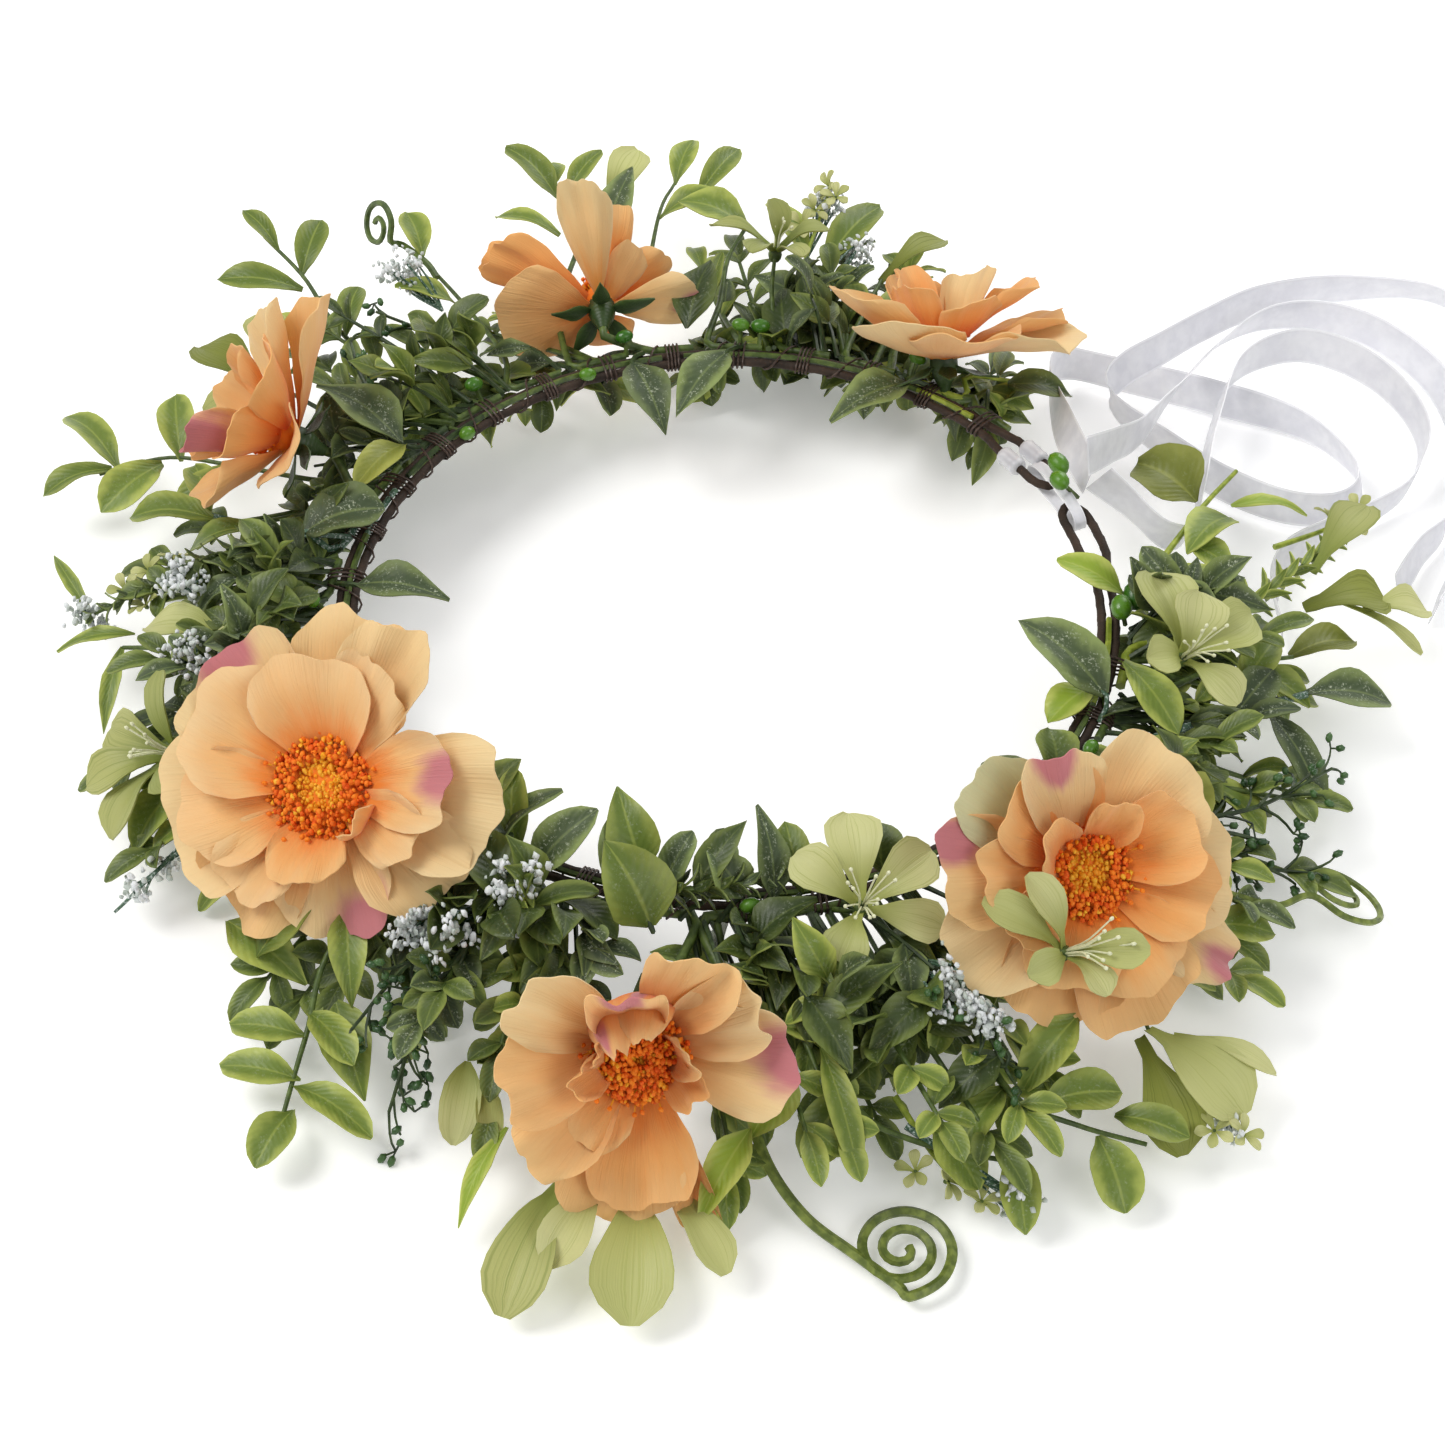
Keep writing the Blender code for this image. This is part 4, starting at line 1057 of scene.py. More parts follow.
# ---------------------------------------------------------------- foliage
# clear places round the star blossoms that stand in front
STARS = ((351, 106, 38), (51, 110, 38), (6.5, 137.5, 41), (180, 106, 37))
STAR_CLEAR = 15.0
BLOOM_CLEAR = 36.0
BEHIND_FACE = -6.0
FLOOR_CLEAR = 3.0
CRUMB_SPREAD = 1.6
CRUMBS_PER_COUNT = 3
CRUMBS_PER_HEAD = 16
UNDERGROWTH_DENSITY = 1.8
OUTGROWTH_LEAF = 15.0
PAIR_SPREAD_DEG = 52
SHOOT_SPREAD_DEG = 48
# where the stalks of each kind stand on the hoop
FOOT_RADIUS = {"leaf": 95.6, "bud": 96.5, "undergrowth": 97.5, "outgrowth": 98.0, "cover": 98.5}


def in_bloom(point):
    """Whether a point stands in front of a bloom's petals, or among a star blossom's."""
    if any(np.linalg.norm(point - polar(*star)) < STAR_CLEAR for star in STARS):
        return True
    for _, angle, radius, height, azimuth, elevation in BLOOMS.values():
        away = point - polar(angle, radius, height)
        axis = heading(azimuth, elevation)
        high = away.dot(axis)
        if high > BEHIND_FACE and np.linalg.norm(away - axis * high) < BLOOM_CLEAR:
            return True
    return False


# by slot: middle angle, spread, twigs, and the radii and heights their ends may have
OUTGROWTH = {
    1: (117, 6, 2, (112, 128), 12, 30), 2: (134, 5, 4, (120, 150), 12, 28),
    3: (144, 5, 3, (126, 150), 12, 30), 4: (155, 6, 3, (126, 152), 12, 30),
    6: (177, 5, 3, (122, 150), 12, 38), 7: (186, 5, 2, (124, 148), 12, 36),
    8: (199, 5, 2, (126, 150), 12, 34), 9: (208, 5, 2, (126, 152), 10, 34),
    11: (229, 5, 3, (126, 152), 8, 34), 12: (240, 5, 3, (124, 146), 8, 32),
    13: (251, 5, 3, (124, 146), 8, 32), 14: (262, 5, 3, (128, 150), 6, 24),
    15: (273, 5, 3, (128, 150), 6, 18), 17: (294, 6, 3, (130, 152), 6, 18),
    18: (304, 5, 4, (118, 150), 6, 34), 19: (315, 4, 3, (120, 150), 6, 26),
    21: (339, 5, 4, (128, 156), 6, 28), 22: (348, 5, 4, (128, 158), 6, 28),
    23: (0, 5, 4, (132, 162), 6, 24), 25: (22, 6, 4, (132, 158), 6, 22),
    26: (34, 6, 4, (122, 152), 8, 30), 27: (46, 6, 4, (118, 148), 8, 32),
    28: (62, 8, 4, (112, 138), 10, 32),
}


class Sprig(Piece):
    """One bound sprig."""

    def __init__(self, name, slot, seed=0):
        super().__init__(name, 200 + slot + seed)
        self.slot_no = slot

    def tie(self, look, *places, thick=1.1, thin=0.55):
        """The sprig's own stem: along the hoop, out of the binding, and through the places."""
        middle = slot_angle(self.slot_no)
        first = (places[0][0] - middle + 180) % 360 - 180
        route = hoop_tail(middle, 1 if first >= 0 else -1, 5.0, 0.5)
        run = [polar(middle + d, HOOP_RADIUS, HOOP_HEIGHT + 1.3) for d in (-9, -4, 0, 4, 9)]
        stem(self, look, run, 0.85, 0.7, 5)
        return stem(self, look, route + [polar(*p) for p in places], thick, thin)

    def twig(self, look, *places, thick=0.8, thin=0.45, **more):
        return stem(self, look, [spot(p) for p in places], thick, thin, **more)

    def leaves(self, look, shape, *rows, **more):
        """Each row is angle, radius and height of base and tip, width, and the roll."""
        for row in rows:
            roll = row[7] if len(row) > 7 else self.draw.uniform(-14, 14)
            blade(self, look, polar(*row[:3]), polar(*row[3:6]), row[6], roll, shape, **more)

    def stalked(self, look, shape, stalk, *rows):
        """Leaves whose stalks start at the hoop."""
        for row in rows:
            base, tip = polar(*row[:3]), polar(*row[3:6])
            foot = polar(row[0] - 2.5, FOOT_RADIUS["leaf"], HOOP_HEIGHT + 1.2)
            bend = base - unit(tip - base) * 1.5
            stem(self, stalk, [foot, bend, base + unit(tip - base) * 3.0], 0.75, 0.55, 5)
            self.leaves(look, shape, row)

    def pairs(self, look, line, count, size, wide, start=0.25, shape="box"):
        """Opposite pairs of leaves along a stalk, smaller towards its end, and one at its tip."""
        along = tangents(line)
        side = side_vectors(along, UP)
        for k in range(count):
            share = start + (0.97 - start) * k / max(1, count - 1)
            i = min(len(line) - 1, int(share * (len(line) - 1)))
            scale = 1.0 - 0.35 * share
            turn = math.radians(self.draw.uniform(-35, 35) + (90 if k % 2 else 0) * 0.6)
            out = turned(side[i], np.cross(side[i], along[i]), turn)
            for sign in (1, -1):
                a = math.radians(PAIR_SPREAD_DEG * self.draw.uniform(0.8, 1.2))
                end = line[i] + turned(along[i], out * sign, a) * size * scale
                end[2] = max(end[2], 1.2)
                if in_bloom(end):
                    continue
                blade(self, look, line[i], end, wide * scale, self.draw.uniform(-20, 20), shape,
                      up=unit(UP + along[i] * 0.4))
        end = line[-1] + along[-1] * size * 0.8
        blade(self, look, line[-1] - along[-1], end, wide * 0.75, 0, shape)

    def undergrowth(self, middle, spread, count, low=8.0, high=38.0, far=128.0):
        """Short dark twigs with crowded leaves close to the hoop."""
        draw = self.draw
        looks = (LEAF_DARK, LEAF_MID, LEAF_FROST, LEAF_DARK, LEAF_MID, LEAF)
        for _ in range(int(count * UNDERGROWTH_DENSITY)):
            a = middle + draw.uniform(-spread, spread)
            r = draw.uniform(106, far - 6)
            z = draw.uniform(low, high)
            foot = polar(a - draw.uniform(2, 5), FOOT_RADIUS["undergrowth"], HOOP_HEIGHT)
            head = polar(a, r, z)
            if in_bloom(head):
                head[2] = low
            bend = (foot + head) / 2 + UP * draw.uniform(0, 3)
            line = stem(self, STEM_DARK, [foot, bend, head], 0.7, 0.4, 5)
            look = draw.choice(looks)
            for _ in range(draw.choice((4, 5, 6))):
                i = draw.randrange(len(line) // 2, len(line))
                way = unit(normal_jitter(draw) + unit(head - foot) * 0.9 + UP * 0.3)
                size = draw.uniform(10, 17)
                end = line[i] + way * size
                end[2] = max(end[2], FLOOR_CLEAR)
                if in_bloom(end) or in_bloom((end + line[i]) / 2):
                    continue
                blade(self, look, line[i], end, size * draw.uniform(0.42, 0.62),
                      draw.uniform(-40, 40), draw.choice(("box", "ovate", "lance")))

    def outgrowth(self, middle, spread, count, far, low, high):
        """Longer twigs with pairs of leaves that reach outward under and between the rest."""
        draw = self.draw
        for _ in range(count):
            a = middle + draw.uniform(-spread, spread)
            head = polar(a, draw.uniform(*far), draw.uniform(low, high))
            if in_bloom(head):
                head[2] = min(head[2], 9.0)
            foot = polar(a - draw.uniform(3, 7), FOOT_RADIUS["outgrowth"], HOOP_HEIGHT - 1)
            bend = foot * 0.5 + head * 0.5 - UP * draw.uniform(0, 4)
            line = stem(self, STEM, [foot, bend, head], 0.95, 0.5)
            self.pairs(draw.choice((LEAF, LEAF_MID, LEAF_MID, LEAF_FROST)), line, 3,
                       OUTGROWTH_LEAF * draw.uniform(0.8, 1.15), OUTGROWTH_LEAF * 0.52, 0.5)

    def cover(self, *angles):
        """Leaves that lie over the hoop towards its middle."""
        draw = self.draw
        for a in angles:
            base = polar(a, draw.uniform(95, 100), draw.uniform(31, 35))
            tip = polar(a + draw.uniform(-7, 7), draw.uniform(80, 91), draw.uniform(36, 48))
            blade(self, draw.choice((LEAF_FROST, LEAF_MID, LEAF_FROST, LEAF)), base, tip,
                  draw.uniform(8, 12), draw.uniform(-25, 25), draw.choice(("box", "ovate")), 0.14)
            foot = polar(a - 3, FOOT_RADIUS["cover"], HOOP_HEIGHT)
            stem(self, STEM_DARK, [foot, (foot + base) / 2 + UP, base], 0.7, 0.5, 5)

    def buds(self, *places):
        """Glossy buds on the hoop: angle, radius, height and length."""
        for a, r, z, long in places:
            at = polar(a, r, z)
            self.ball(BUD, at, (long * 0.36, long * 0.36, long * 0.5),
                      polar(a + 90, 1, 0) + UP * self.draw.uniform(-0.3, 0.3), 2,
                      self.draw.random())
            foot = polar(a, FOOT_RADIUS["bud"], HOOP_HEIGHT)
            self.tube(STEM, np.array([foot, (at + foot) / 2, at]), 0.6, 5)

    def florets(self, *places):
        """Tiny pale flowers of five petals."""
        for place in places:
            at = polar(*place)
            axis = unit(UP + even_jitter(self.draw, 0.7))
            side, rise = sideways(axis)
            for k in range(5):
                a = math.radians(72 * k + self.draw.uniform(-12, 12))
                out = turned(side, rise, a) + axis * 0.35
                blade(self, CREAM, at, at + out * FLORET_SIZE, FLORET_SIZE * 0.55, 0, "spoon",
                      fold=0.25, up=axis, thick=0.3)
            self.ball(STEM, at, (0.7, 0.7, 0.9), axis)

    def star(self, look, place, face, stamens, reach, *petals):
        """Spoon petals round a small green cup, with thin stamens. Petals: tip and width."""
        axis = heading(*face)
        centre = polar(*place)
        self.ball(STEM, centre - axis * 0.8, (1.9, 1.9, 2.4), axis, 2)
        for *tip, width in petals:
            tip = polar(*tip)
            blade(self, look, centre + unit(tip - centre) * 1.2, tip, width, 0.0, "spoon", 0.14,
                  0.30, wave=0.04, up=axis, thick=0.4, rows=12, cols=9)
        side, rise = sideways(axis)
        for k in range(stamens):
            a = 2 * math.pi * k / stamens + self.draw.uniform(-0.3, 0.3)
            lean = self.draw.uniform(0.15, 0.45)
            out = turned(side, rise, a)
            end = centre + axis * reach * self.draw.uniform(0.8, 1.1) + out * reach * lean
            middle = centre + axis * reach * 0.5 + out * reach * lean * 0.3
            line = spline([centre + out * 0.6, middle, end], 7)
            self.tube(STAMEN_PALE, line, np.linspace(0.26, 0.2, 7), 4)
            self.ball(STAMEN_PALE, end, (0.5, 0.5, 0.75), end - middle)

    def crumbs(self, place, size, count, root=None):
        """A clump of tiny frosted florets on thin forked stalks."""
        draw = self.draw
        centre, size = spot(place), np.asarray(size, float)
        root = centre - UP * (size[2] * 1.4) if root is None else spot(root)
        count *= CRUMBS_PER_COUNT
        heads = []
        for _ in range(max(4, count // CRUMBS_PER_HEAD)):
            d = unit(normal_jitter(draw))
            head = centre + d * (size * CRUMB_SPREAD) * draw.uniform(0.25, 1.0)
            if in_bloom(head):
                continue
            heads.append(head)
            fork = root * 0.45 + head * 0.55 + even_jitter(draw)
            self.tube(STEM_FROST, spline([root, fork, head], 6), np.linspace(0.42, 0.28, 6), 4)
        for _ in range(count if heads else 0):
            at = draw.choice(heads) + normal_jitter(draw, 1.5)
            if in_bloom(at):
                continue
            s = draw.uniform(0.45, 1.10)
            axis = normal_jitter(draw)
            self.ball(CRUMB, at, (s, s * draw.uniform(0.5, 0.9), s * draw.uniform(0.7, 1.3)),
                      axis, 1, draw.random(), 0.35)

    def bud_spray(self, branches, reach, *places):
        """A thin stalk with forked side shoots that end in small seed buds."""
        draw = self.draw
        line = self.twig(STEM_DARK, *places, thick=0.75, thin=0.4, sides=5)
        along = tangents(line)
        for k in range(branches):
            share = 0.18 + 0.8 * (k + draw.uniform(0, 0.6)) / branches
            i = min(len(line) - 1, int(share * len(line)))
            forward = along[i]
            side = unit(np.cross(forward, normal_jitter(draw)))
            way = turned(forward, side, math.radians(SHOOT_SPREAD_DEG * draw.uniform(0.6, 1.2)))
            length = reach * draw.uniform(0.55, 1.1)
            end = line[i] + way * length
            end[2] = max(end[2], 1.6)
            if in_bloom(end):
                continue
            shoot = [line[i], (line[i] + end) / 2 + forward * length * 0.12, end]
            self.tube(STEM_DARK, spline(shoot, 5), np.linspace(0.42, 0.28, 5), 4)
            for _ in range(draw.choice((1, 2, 2, 3))):
                off = normal_jitter(draw, 1.2)
                at = end + off
                at[2] = max(at[2], 1.2)
                self.tube(STEM_DARK, np.array([end, at]), 0.24, 4)
                self.ball(BERRY, at + unit(off) * BUD_RADII[2] * 0.6, BUD_RADII, off + forward, 1,
                          draw.random())

    def needles(self, whorls, long, look, tip_look, *places):
        """A stalk set with narrow leaves in whorls of three, shorter towards its tip."""
        line = self.twig(STEM, *places, thick=0.9, sides=5, spacing=1.5)
        along = tangents(line)
        side = side_vectors(along)
        rise = np.cross(side, along)
        for k in range(whorls):
            share = 0.1 + (1 - 0.1) * k / (whorls - 1)
            i = min(len(line) - 1, int(share * (len(line) - 1)))
            size = 1.0 - 0.55 * share
            for j in range(3):
                out = turned(side[i], rise[i], 2 * math.pi * j / 3 + k * 1.1)
                tip = line[i] + (out * 0.75 + along[i] * 0.75) * long * size
                tip[2] = max(tip[2], 1.0)
                blade(self, tip_look if share > 0.62 else look, line[i], tip,
                      NEEDLE_WIDTH * (0.7 + 0.5 * size), 0, "lance", 0.12, 0.2,
                      up=along[i], thick=0.3, rows=6, cols=5)

    def curl(self, look, places, centre, radius, turns, side, rise, thick=0.95):
        """A tendril that ends in a flat coil."""
        side, rise = (unit(np.array(way, float)) for way in (side, rise))
        coil = spiral(polar(*centre), radius, turns, side, rise)
        route = np.vstack([[polar(*p) for p in places], coil[::2]])
        line = spline(route, int(whole_length(route) / 1.3))
        self.tube(look, line, np.linspace(thick, thick * 0.8, len(line)), 5)

    def done(self):
        if self.slot_no in OUTGROWTH:
            self.outgrowth(*OUTGROWTH[self.slot_no])
        self.make(f"foliage_{self.slot_no:02d}")


def left_foliage():
    s = Sprig("boxwood_sprig_a", 8)
    s.tie(STEM, (200, 120, 22), (199, 151, 24), (198, 169, 30), (198, 186, 34))
    s.leaves(LEAF, "box", (199, 166, 29, 204, 183, 32, 9), (198, 180, 33, 198, 195, 38, 6),
             (198, 170, 30, 193, 182, 34, 9), (200, 150, 24, 205, 162, 28, 9),
             (199, 148, 24, 194, 160, 26, 8))
    line = s.twig(STEM_DARK, (197, 100, 28), (198, 126, 30), (200, 146, 34))
    s.pairs(LEAF_DARK, line, 4, 11, 5, shape="lance")
    s.undergrowth(197, 6, 4)
    s.buds((196, 100.5, 33, 5.5), (203, 90, 30, 5))
    s.done()

    s = Sprig("curled_tendril_a", 7)
    s.tie(STEM, (187, 112, 26), (186, 137, 24), (187, 156, 28), thick=0.95)
    s.curl(STEM, ((187, 150, 27), (187, 156, 28), (188, 164, 30)), (189, 173, 32), 8.0, 1.5,
           polar(187, -1, 0), (0, 0.35, 0.9), 1.0)
    s.leaves(LEAF, "box", (187, 158, 29, 186, 173, 33, 9), (187, 140, 25, 192, 150, 30, 8))
    s.undergrowth(186, 5, 3)
    s.bud_spray(6, 8, (190, 104, 27), (193, 124, 30), (197, 140, 34))
    s.crumbs((190, 153, 33), (4, 4, 3), 46, (189, 138, 26))
    s.done()

    s = Sprig("frosted_leaf_sprig_a", 9)
    s.tie(STEM_DARK, (211, 104, 30), (211, 122, 28), (210, 140, 26))
    s.stalked(LEAF_FROST, "ovate", STEM_DARK, (212, 99, 32, 211, 128, 36, 15, 10))
    s.leaves(LEAF_OLIVE, "box", (212, 98, 32, 226, 98, 37, 9))
    s.leaves(OLIVE_PETAL, "spoon", (212, 143, 26, 210, 172, 26, 14, 0))
    s.leaves(BLOSSOM, "spoon", (211, 141, 27, 205, 163, 32, 12, 5),
             (210, 140, 27, 215, 160, 20, 9))
    s.bud_spray(6, 8, (208, 104, 27), (205, 124, 30), (202, 136, 33))
    s.undergrowth(208, 5, 4)
    s.done()

    s = Sprig("frosted_leaf_sprig_b", 11)
    s.tie(STEM_FROST, (233, 106, 30), (231, 118, 26), (228, 140, 20))
    s.stalked(LEAF_FROST, "round", STEM_FROST, (234, 106, 33, 229, 88, 37, 17, 0))
    s.leaves(LEAF, "box", (231, 120, 26, 232, 141, 14, 9), (229, 136, 21, 230, 158, 18, 13),
             (228, 138, 20, 222, 150, 20, 9))
    s.undergrowth(230, 5, 5)
    s.buds((226, 100, 32.5, 5))
    s.done()

    s = Sprig("rosemary_sprig_a", 12)
    s.tie(STEM, (243, 103, 30), (238, 110, 32), thin=0.8)
    s.needles(15, 9.5, LEAF_DARK, LEAF_FROST, (235, 107, 34), (239, 131, 28), (244, 155, 22))
    s.crumbs((244, 157, 21), (3, 3, 3), 36)
    s.leaves(LEAF, "lance", (243, 157, 18, 236, 172, 18, 4))
    s.crumbs((243, 132, 31), (4, 4, 3), 44)
    s.undergrowth(240, 5, 4)
    s.twig(STEM_LIME, (238, 104, 27), (239, 128, 25), (241, 148, 22))
    s.florets((241, 149, 22), (239, 144, 24), (243, 143, 22), (238, 138, 26))
    s.done()

    s = Sprig("floret_sprig_a", 13)
    s.tie(STEM, (252, 108, 28), (250, 126, 24), (247, 148, 18))
    s.leaves(CREAM, "round", (249, 124, 27, 246, 142, 22, 11, 0), (254, 114, 29, 250, 124, 29, 10))
    s.leaves(LEAF, "lance", (247, 148, 18, 255, 153, 10, 5), (246, 145, 20, 246, 165, 14, 5))
    s.crumbs((254, 129, 31), (4, 4, 3), 50)
    s.stalked(LEAF_FROST, "ovate", STEM_DARK, (244, 90, 33, 249, 67, 34, 12, 0))
    s.undergrowth(251, 5, 5)
    s.buds((247, 100, 33, 5))
    s.done()

    s = Sprig("star_blossom_a", 14)
    s.tie(STEM_FROST, (266, 108, 26), (265, 124, 22), (264, 134, 22))
    s.star(BLOSSOM, (264, 136, 22), (262, 42), 9, 12,
           (258, 150, 20, 12), (269, 156, 14, 13), (263, 158, 16, 12), (271, 142, 30, 9),
           (257, 136, 34, 9))
    s.leaves(LEAF, "box", (266, 135, 18, 270, 152, 11, 12), (265, 126, 22, 259, 140, 16, 10))
    s.undergrowth(262, 5, 5)
    s.done()

    s = Sprig("white_floret_sprig_a", 15)
    line = s.tie(STEM_FROST, (274, 112, 24), (273, 140, 16), (275, 162, 9), thin=0.4)
    for i in range(len(line) // 3, len(line), 3):
        s.crumbs(line[i], (2.2, 2.2, 2.0), 12, line[max(0, i - 3)])
    s.undergrowth(272, 5, 4)
    s.done()

    s = Sprig("boxwood_sprig_b", 17)
    s.tie(STEM, (294, 131, 22), (297, 150, 12), (300, 168, 7))
    s.leaves(LEAF, "box", (299, 160, 9, 307, 162, 9, 9), (299, 158, 9, 293, 166, 8, 9),
             (300, 164, 7, 301, 180, 7, 10), (297, 150, 12, 291, 158, 10, 9),
             (296, 146, 14, 303, 152, 16, 9))
    s.twig(STEM, (290, 104, 26), (290, 126, 24), (292, 132, 22))
    s.leaves(LEAF, "ovate", (284, 144, 18, 293, 140, 12, 12), (289, 145, 18, 290, 125, 26, 12),
             (293, 126, 26, 299, 140, 16, 9), (297, 140, 14, 304, 153, 6, 12))
    for a, r, z in ((301, 125, 34), (296, 125, 33)):
        s.crumbs((a, r, z), (3.5, 3.5, 3.5), 42, (a, 108, 28))
    s.undergrowth(294, 4, 4)
    s.cover(288, 292, 296)
    s.done()

    s = Sprig("bud_sprig_a", 18)
    s.tie(STEM_DARK, (306, 112, 30), (307, 125, 26), (306, 140, 20))
    s.bud_spray(14, 11, (307, 118, 30), (306, 136, 22), (307, 155, 10))
    s.bud_spray(10, 9, (308, 112, 34), (303, 130, 28), (301, 146, 18))
    s.crumbs((305, 123, 35), (4, 4, 4), 44, (305, 108, 28))
    s.crumbs((310, 110, 38), (4, 4, 6), 60, (309, 102, 30))
    s.stalked(LEAF_DARK, "box", STEM_DARK, (305, 97, 40, 297, 105, 42, 12),
              (310, 112, 36, 301, 101, 41, 12), (297, 121, 30, 295, 104, 37, 11))
    s.undergrowth(305, 5, 5, low=14, high=38)
    s.cover(300, 303, 306, 309)
    s.done()


def front_foliage():
    s = Sprig("drooping_blossom_a", 19)
    s.tie(STEM, (318, 118, 26), (321, 140, 20), (324, 160, 14))
    s.leaves(BLOSSOM, "spoon", (322, 155, 6, 321, 190, 5, 15, 0))
    s.leaves(CREAM, "spoon", (325, 154, 6, 323, 179, 9, 11), (328, 153, 5, 329, 188, 6, 18, 0),
             (330, 154, 6, 335, 176, 8, 10))
    s.leaves(CREAM, "round", (312, 142, 20, 313, 156, 9, 9), (314, 144, 18, 316, 154, 9, 6))
    s.leaves(LEAF_LIME, "lance", (317, 151, 14, 316, 173, 6, 5))
    s.leaves(LEAF, "box", (319, 126, 24, 313, 138, 16, 10), (320, 136, 20, 324, 150, 12, 9))
    s.stalked(LEAF, "ovate", STEM_DARK, (324, 95, 38, 318, 82, 50, 12),
              (326, 106, 34, 319, 96, 48, 18, 0))
    s.undergrowth(317, 5, 5)
    s.cover(321)
    s.done()

    s = Sprig("curled_tendril_b", 21)
    s.tie(STEM, (336, 118, 25), (337, 130, 20), (337, 140, 15.5), thick=1.4, thin=1.4)
    s.curl(STEM_OLIVE, ((337, 130, 20), (337, 140, 15.5), (338.5, 151, 9.5), (341, 161, 5),
                  (344, 170, 3.5), (346.5, 179, 3)), (347.5, 171, 3.5), 11.5, 2.3,
           (0.94, -0.34, 0), (0.34, 0.94, 0.02), 1.35)
    s.leaves(LEAF_LIME, "ovate", (337, 146, 17, 333, 164, 8, 9, 0),
             (341, 137, 24, 337, 147, 15, 12))
    s.needles(13, 9, LEAF_DARK, LEAF_FROST, (323, 99, 36), (334, 97, 38), (346, 93, 36))
    s.stalked(LEAF_DARK, "ovate", STEM_DARK, (331, 96, 36, 338, 84, 45, 8),
              (338, 108, 32, 346, 103, 39, 11))
    s.undergrowth(337, 4, 5, low=12, high=32)
    s.cover(327, 332, 337, 341)
    s.buds((338, 99, 34, 5))
    s.done()

    s = Sprig("star_blossom_b", 22)
    s.tie(STEM, (346, 120, 22), (346, 143, 18), (351, 152, 12), (358, 162, 9))
    s.leaves(LEAF, "box", (352, 150, 14, 354, 164, 8, 12), (358, 158, 9, 356, 176, 5, 9),
             (346, 140, 20, 341, 152, 14, 10), (344, 130, 22, 345, 160, 17, 7))
    s.star(CREAM, (351, 106, 37), (340, 62), 12, 16,
           (353, 87, 46, 13), (344, 94, 44, 11), (347, 116, 33, 11), (359, 116, 35, 10),
           (361, 102, 44, 12))
    s.twig(STEM, (349, 98, 28), (351, 104, 33))
    s.stalked(LEAF_DARK, "ovate", STEM_DARK, (344, 128, 28, 353, 122, 36, 9),
              (343, 123, 32, 346, 139, 24, 10), (355, 128, 30, 348, 135, 23, 10),
              (359, 144, 24, 353, 147, 16, 10))
    s.undergrowth(350, 7, 8, low=10, high=32, far=138)
    s.cover(345, 356)
    s.twig(STEM_LIME, (350, 140, 14), (352, 154, 8), (354, 166, 6))
    s.florets((352, 160, 8), (354, 166, 6), (350, 156, 8))
    s.done()

    s = Sprig("boxwood_sprig_c", 23)
    s.tie(STEM, (358, 128, 22), (359, 151, 18), (3, 160, 12), (7, 170, 9))
    s.leaves(LEAF, "box", (4, 164, 11, 3, 180, 5, 12), (6, 162, 12, 9, 176, 14, 9),
             (1, 154, 16, 7, 160, 16, 11), (359, 148, 18, 353, 158, 13, 10))
    s.bud_spray(12, 10, (356, 116, 30), (358, 134, 30), (359, 148, 22))
    s.twig(STEM, (1, 118, 24), (2, 130, 28), (6, 136, 38))
    s.star(CREAM, (6.5, 137.5, 41), (28, 46), 9, 14,
           (0.5, 125, 53, 9), (5, 126, 57, 9), (1, 143, 48, 8), (11, 151, 48, 9), (7, 151, 40, 8))
    s.crumbs((357, 131, 34), (4, 4, 4), 50, (355, 116, 28))
    s.crumbs((359, 140, 34), (3.5, 3.5, 3.5), 40, (359, 122, 28))
    line = s.twig(STEM_FROST, (350, 148, 14), (354, 160, 9), (356, 168, 7), thin=0.35)
    s.crumbs(line[-1], (3, 3, 2.2), 30, line[0])
    s.leaves(LEAF, "ovate", (7, 143, 24, 0, 149, 13, 11))
    s.undergrowth(0, 5, 6, far=134)
    s.done()

    s = Sprig("berry_sprig_a", 25)
    s.tie(STEM_DARK, (26, 118, 24), (33, 130, 24), (36, 142, 20))
    s.bud_spray(13, 11, (30, 120, 26), (39, 136, 22), (47, 149, 20))
    s.bud_spray(11, 10, (31, 126, 24), (33, 138, 18), (36, 150, 14))
    s.leaves(OLIVE_PETAL, "spoon", (12, 150, 14, 9, 175, 6, 14, 0))
    s.leaves(CREAM, "spoon", (13, 150, 15, 14, 177, 10, 18, 0), (14, 155, 16, 18, 175, 12, 6))
    s.twig(STEM, (21, 104, 25), (17, 126, 20), (13, 150, 15))
    s.crumbs((13, 178, 7), (2.4, 2.4, 2.2), 22, (13, 168, 9))
    s.leaves(LEAF, "box", (25, 140, 16, 29, 153, 13, 10), (24, 128, 20, 19, 142, 14, 10))
    s.curl(STEM_OLIVE, ((27, 124, 21), (29, 138, 18), (31, 150, 16)),
           (37, 160, 10), 12.5, 1.8, (0.16, -0.84, 0.52), (0.98, 0.2, 0), 0.9)
    s.undergrowth(23, 6, 7, far=136)
    s.cover(22, 27)
    s.florets((13, 180, 9), (11.5, 176, 10))
    s.done()

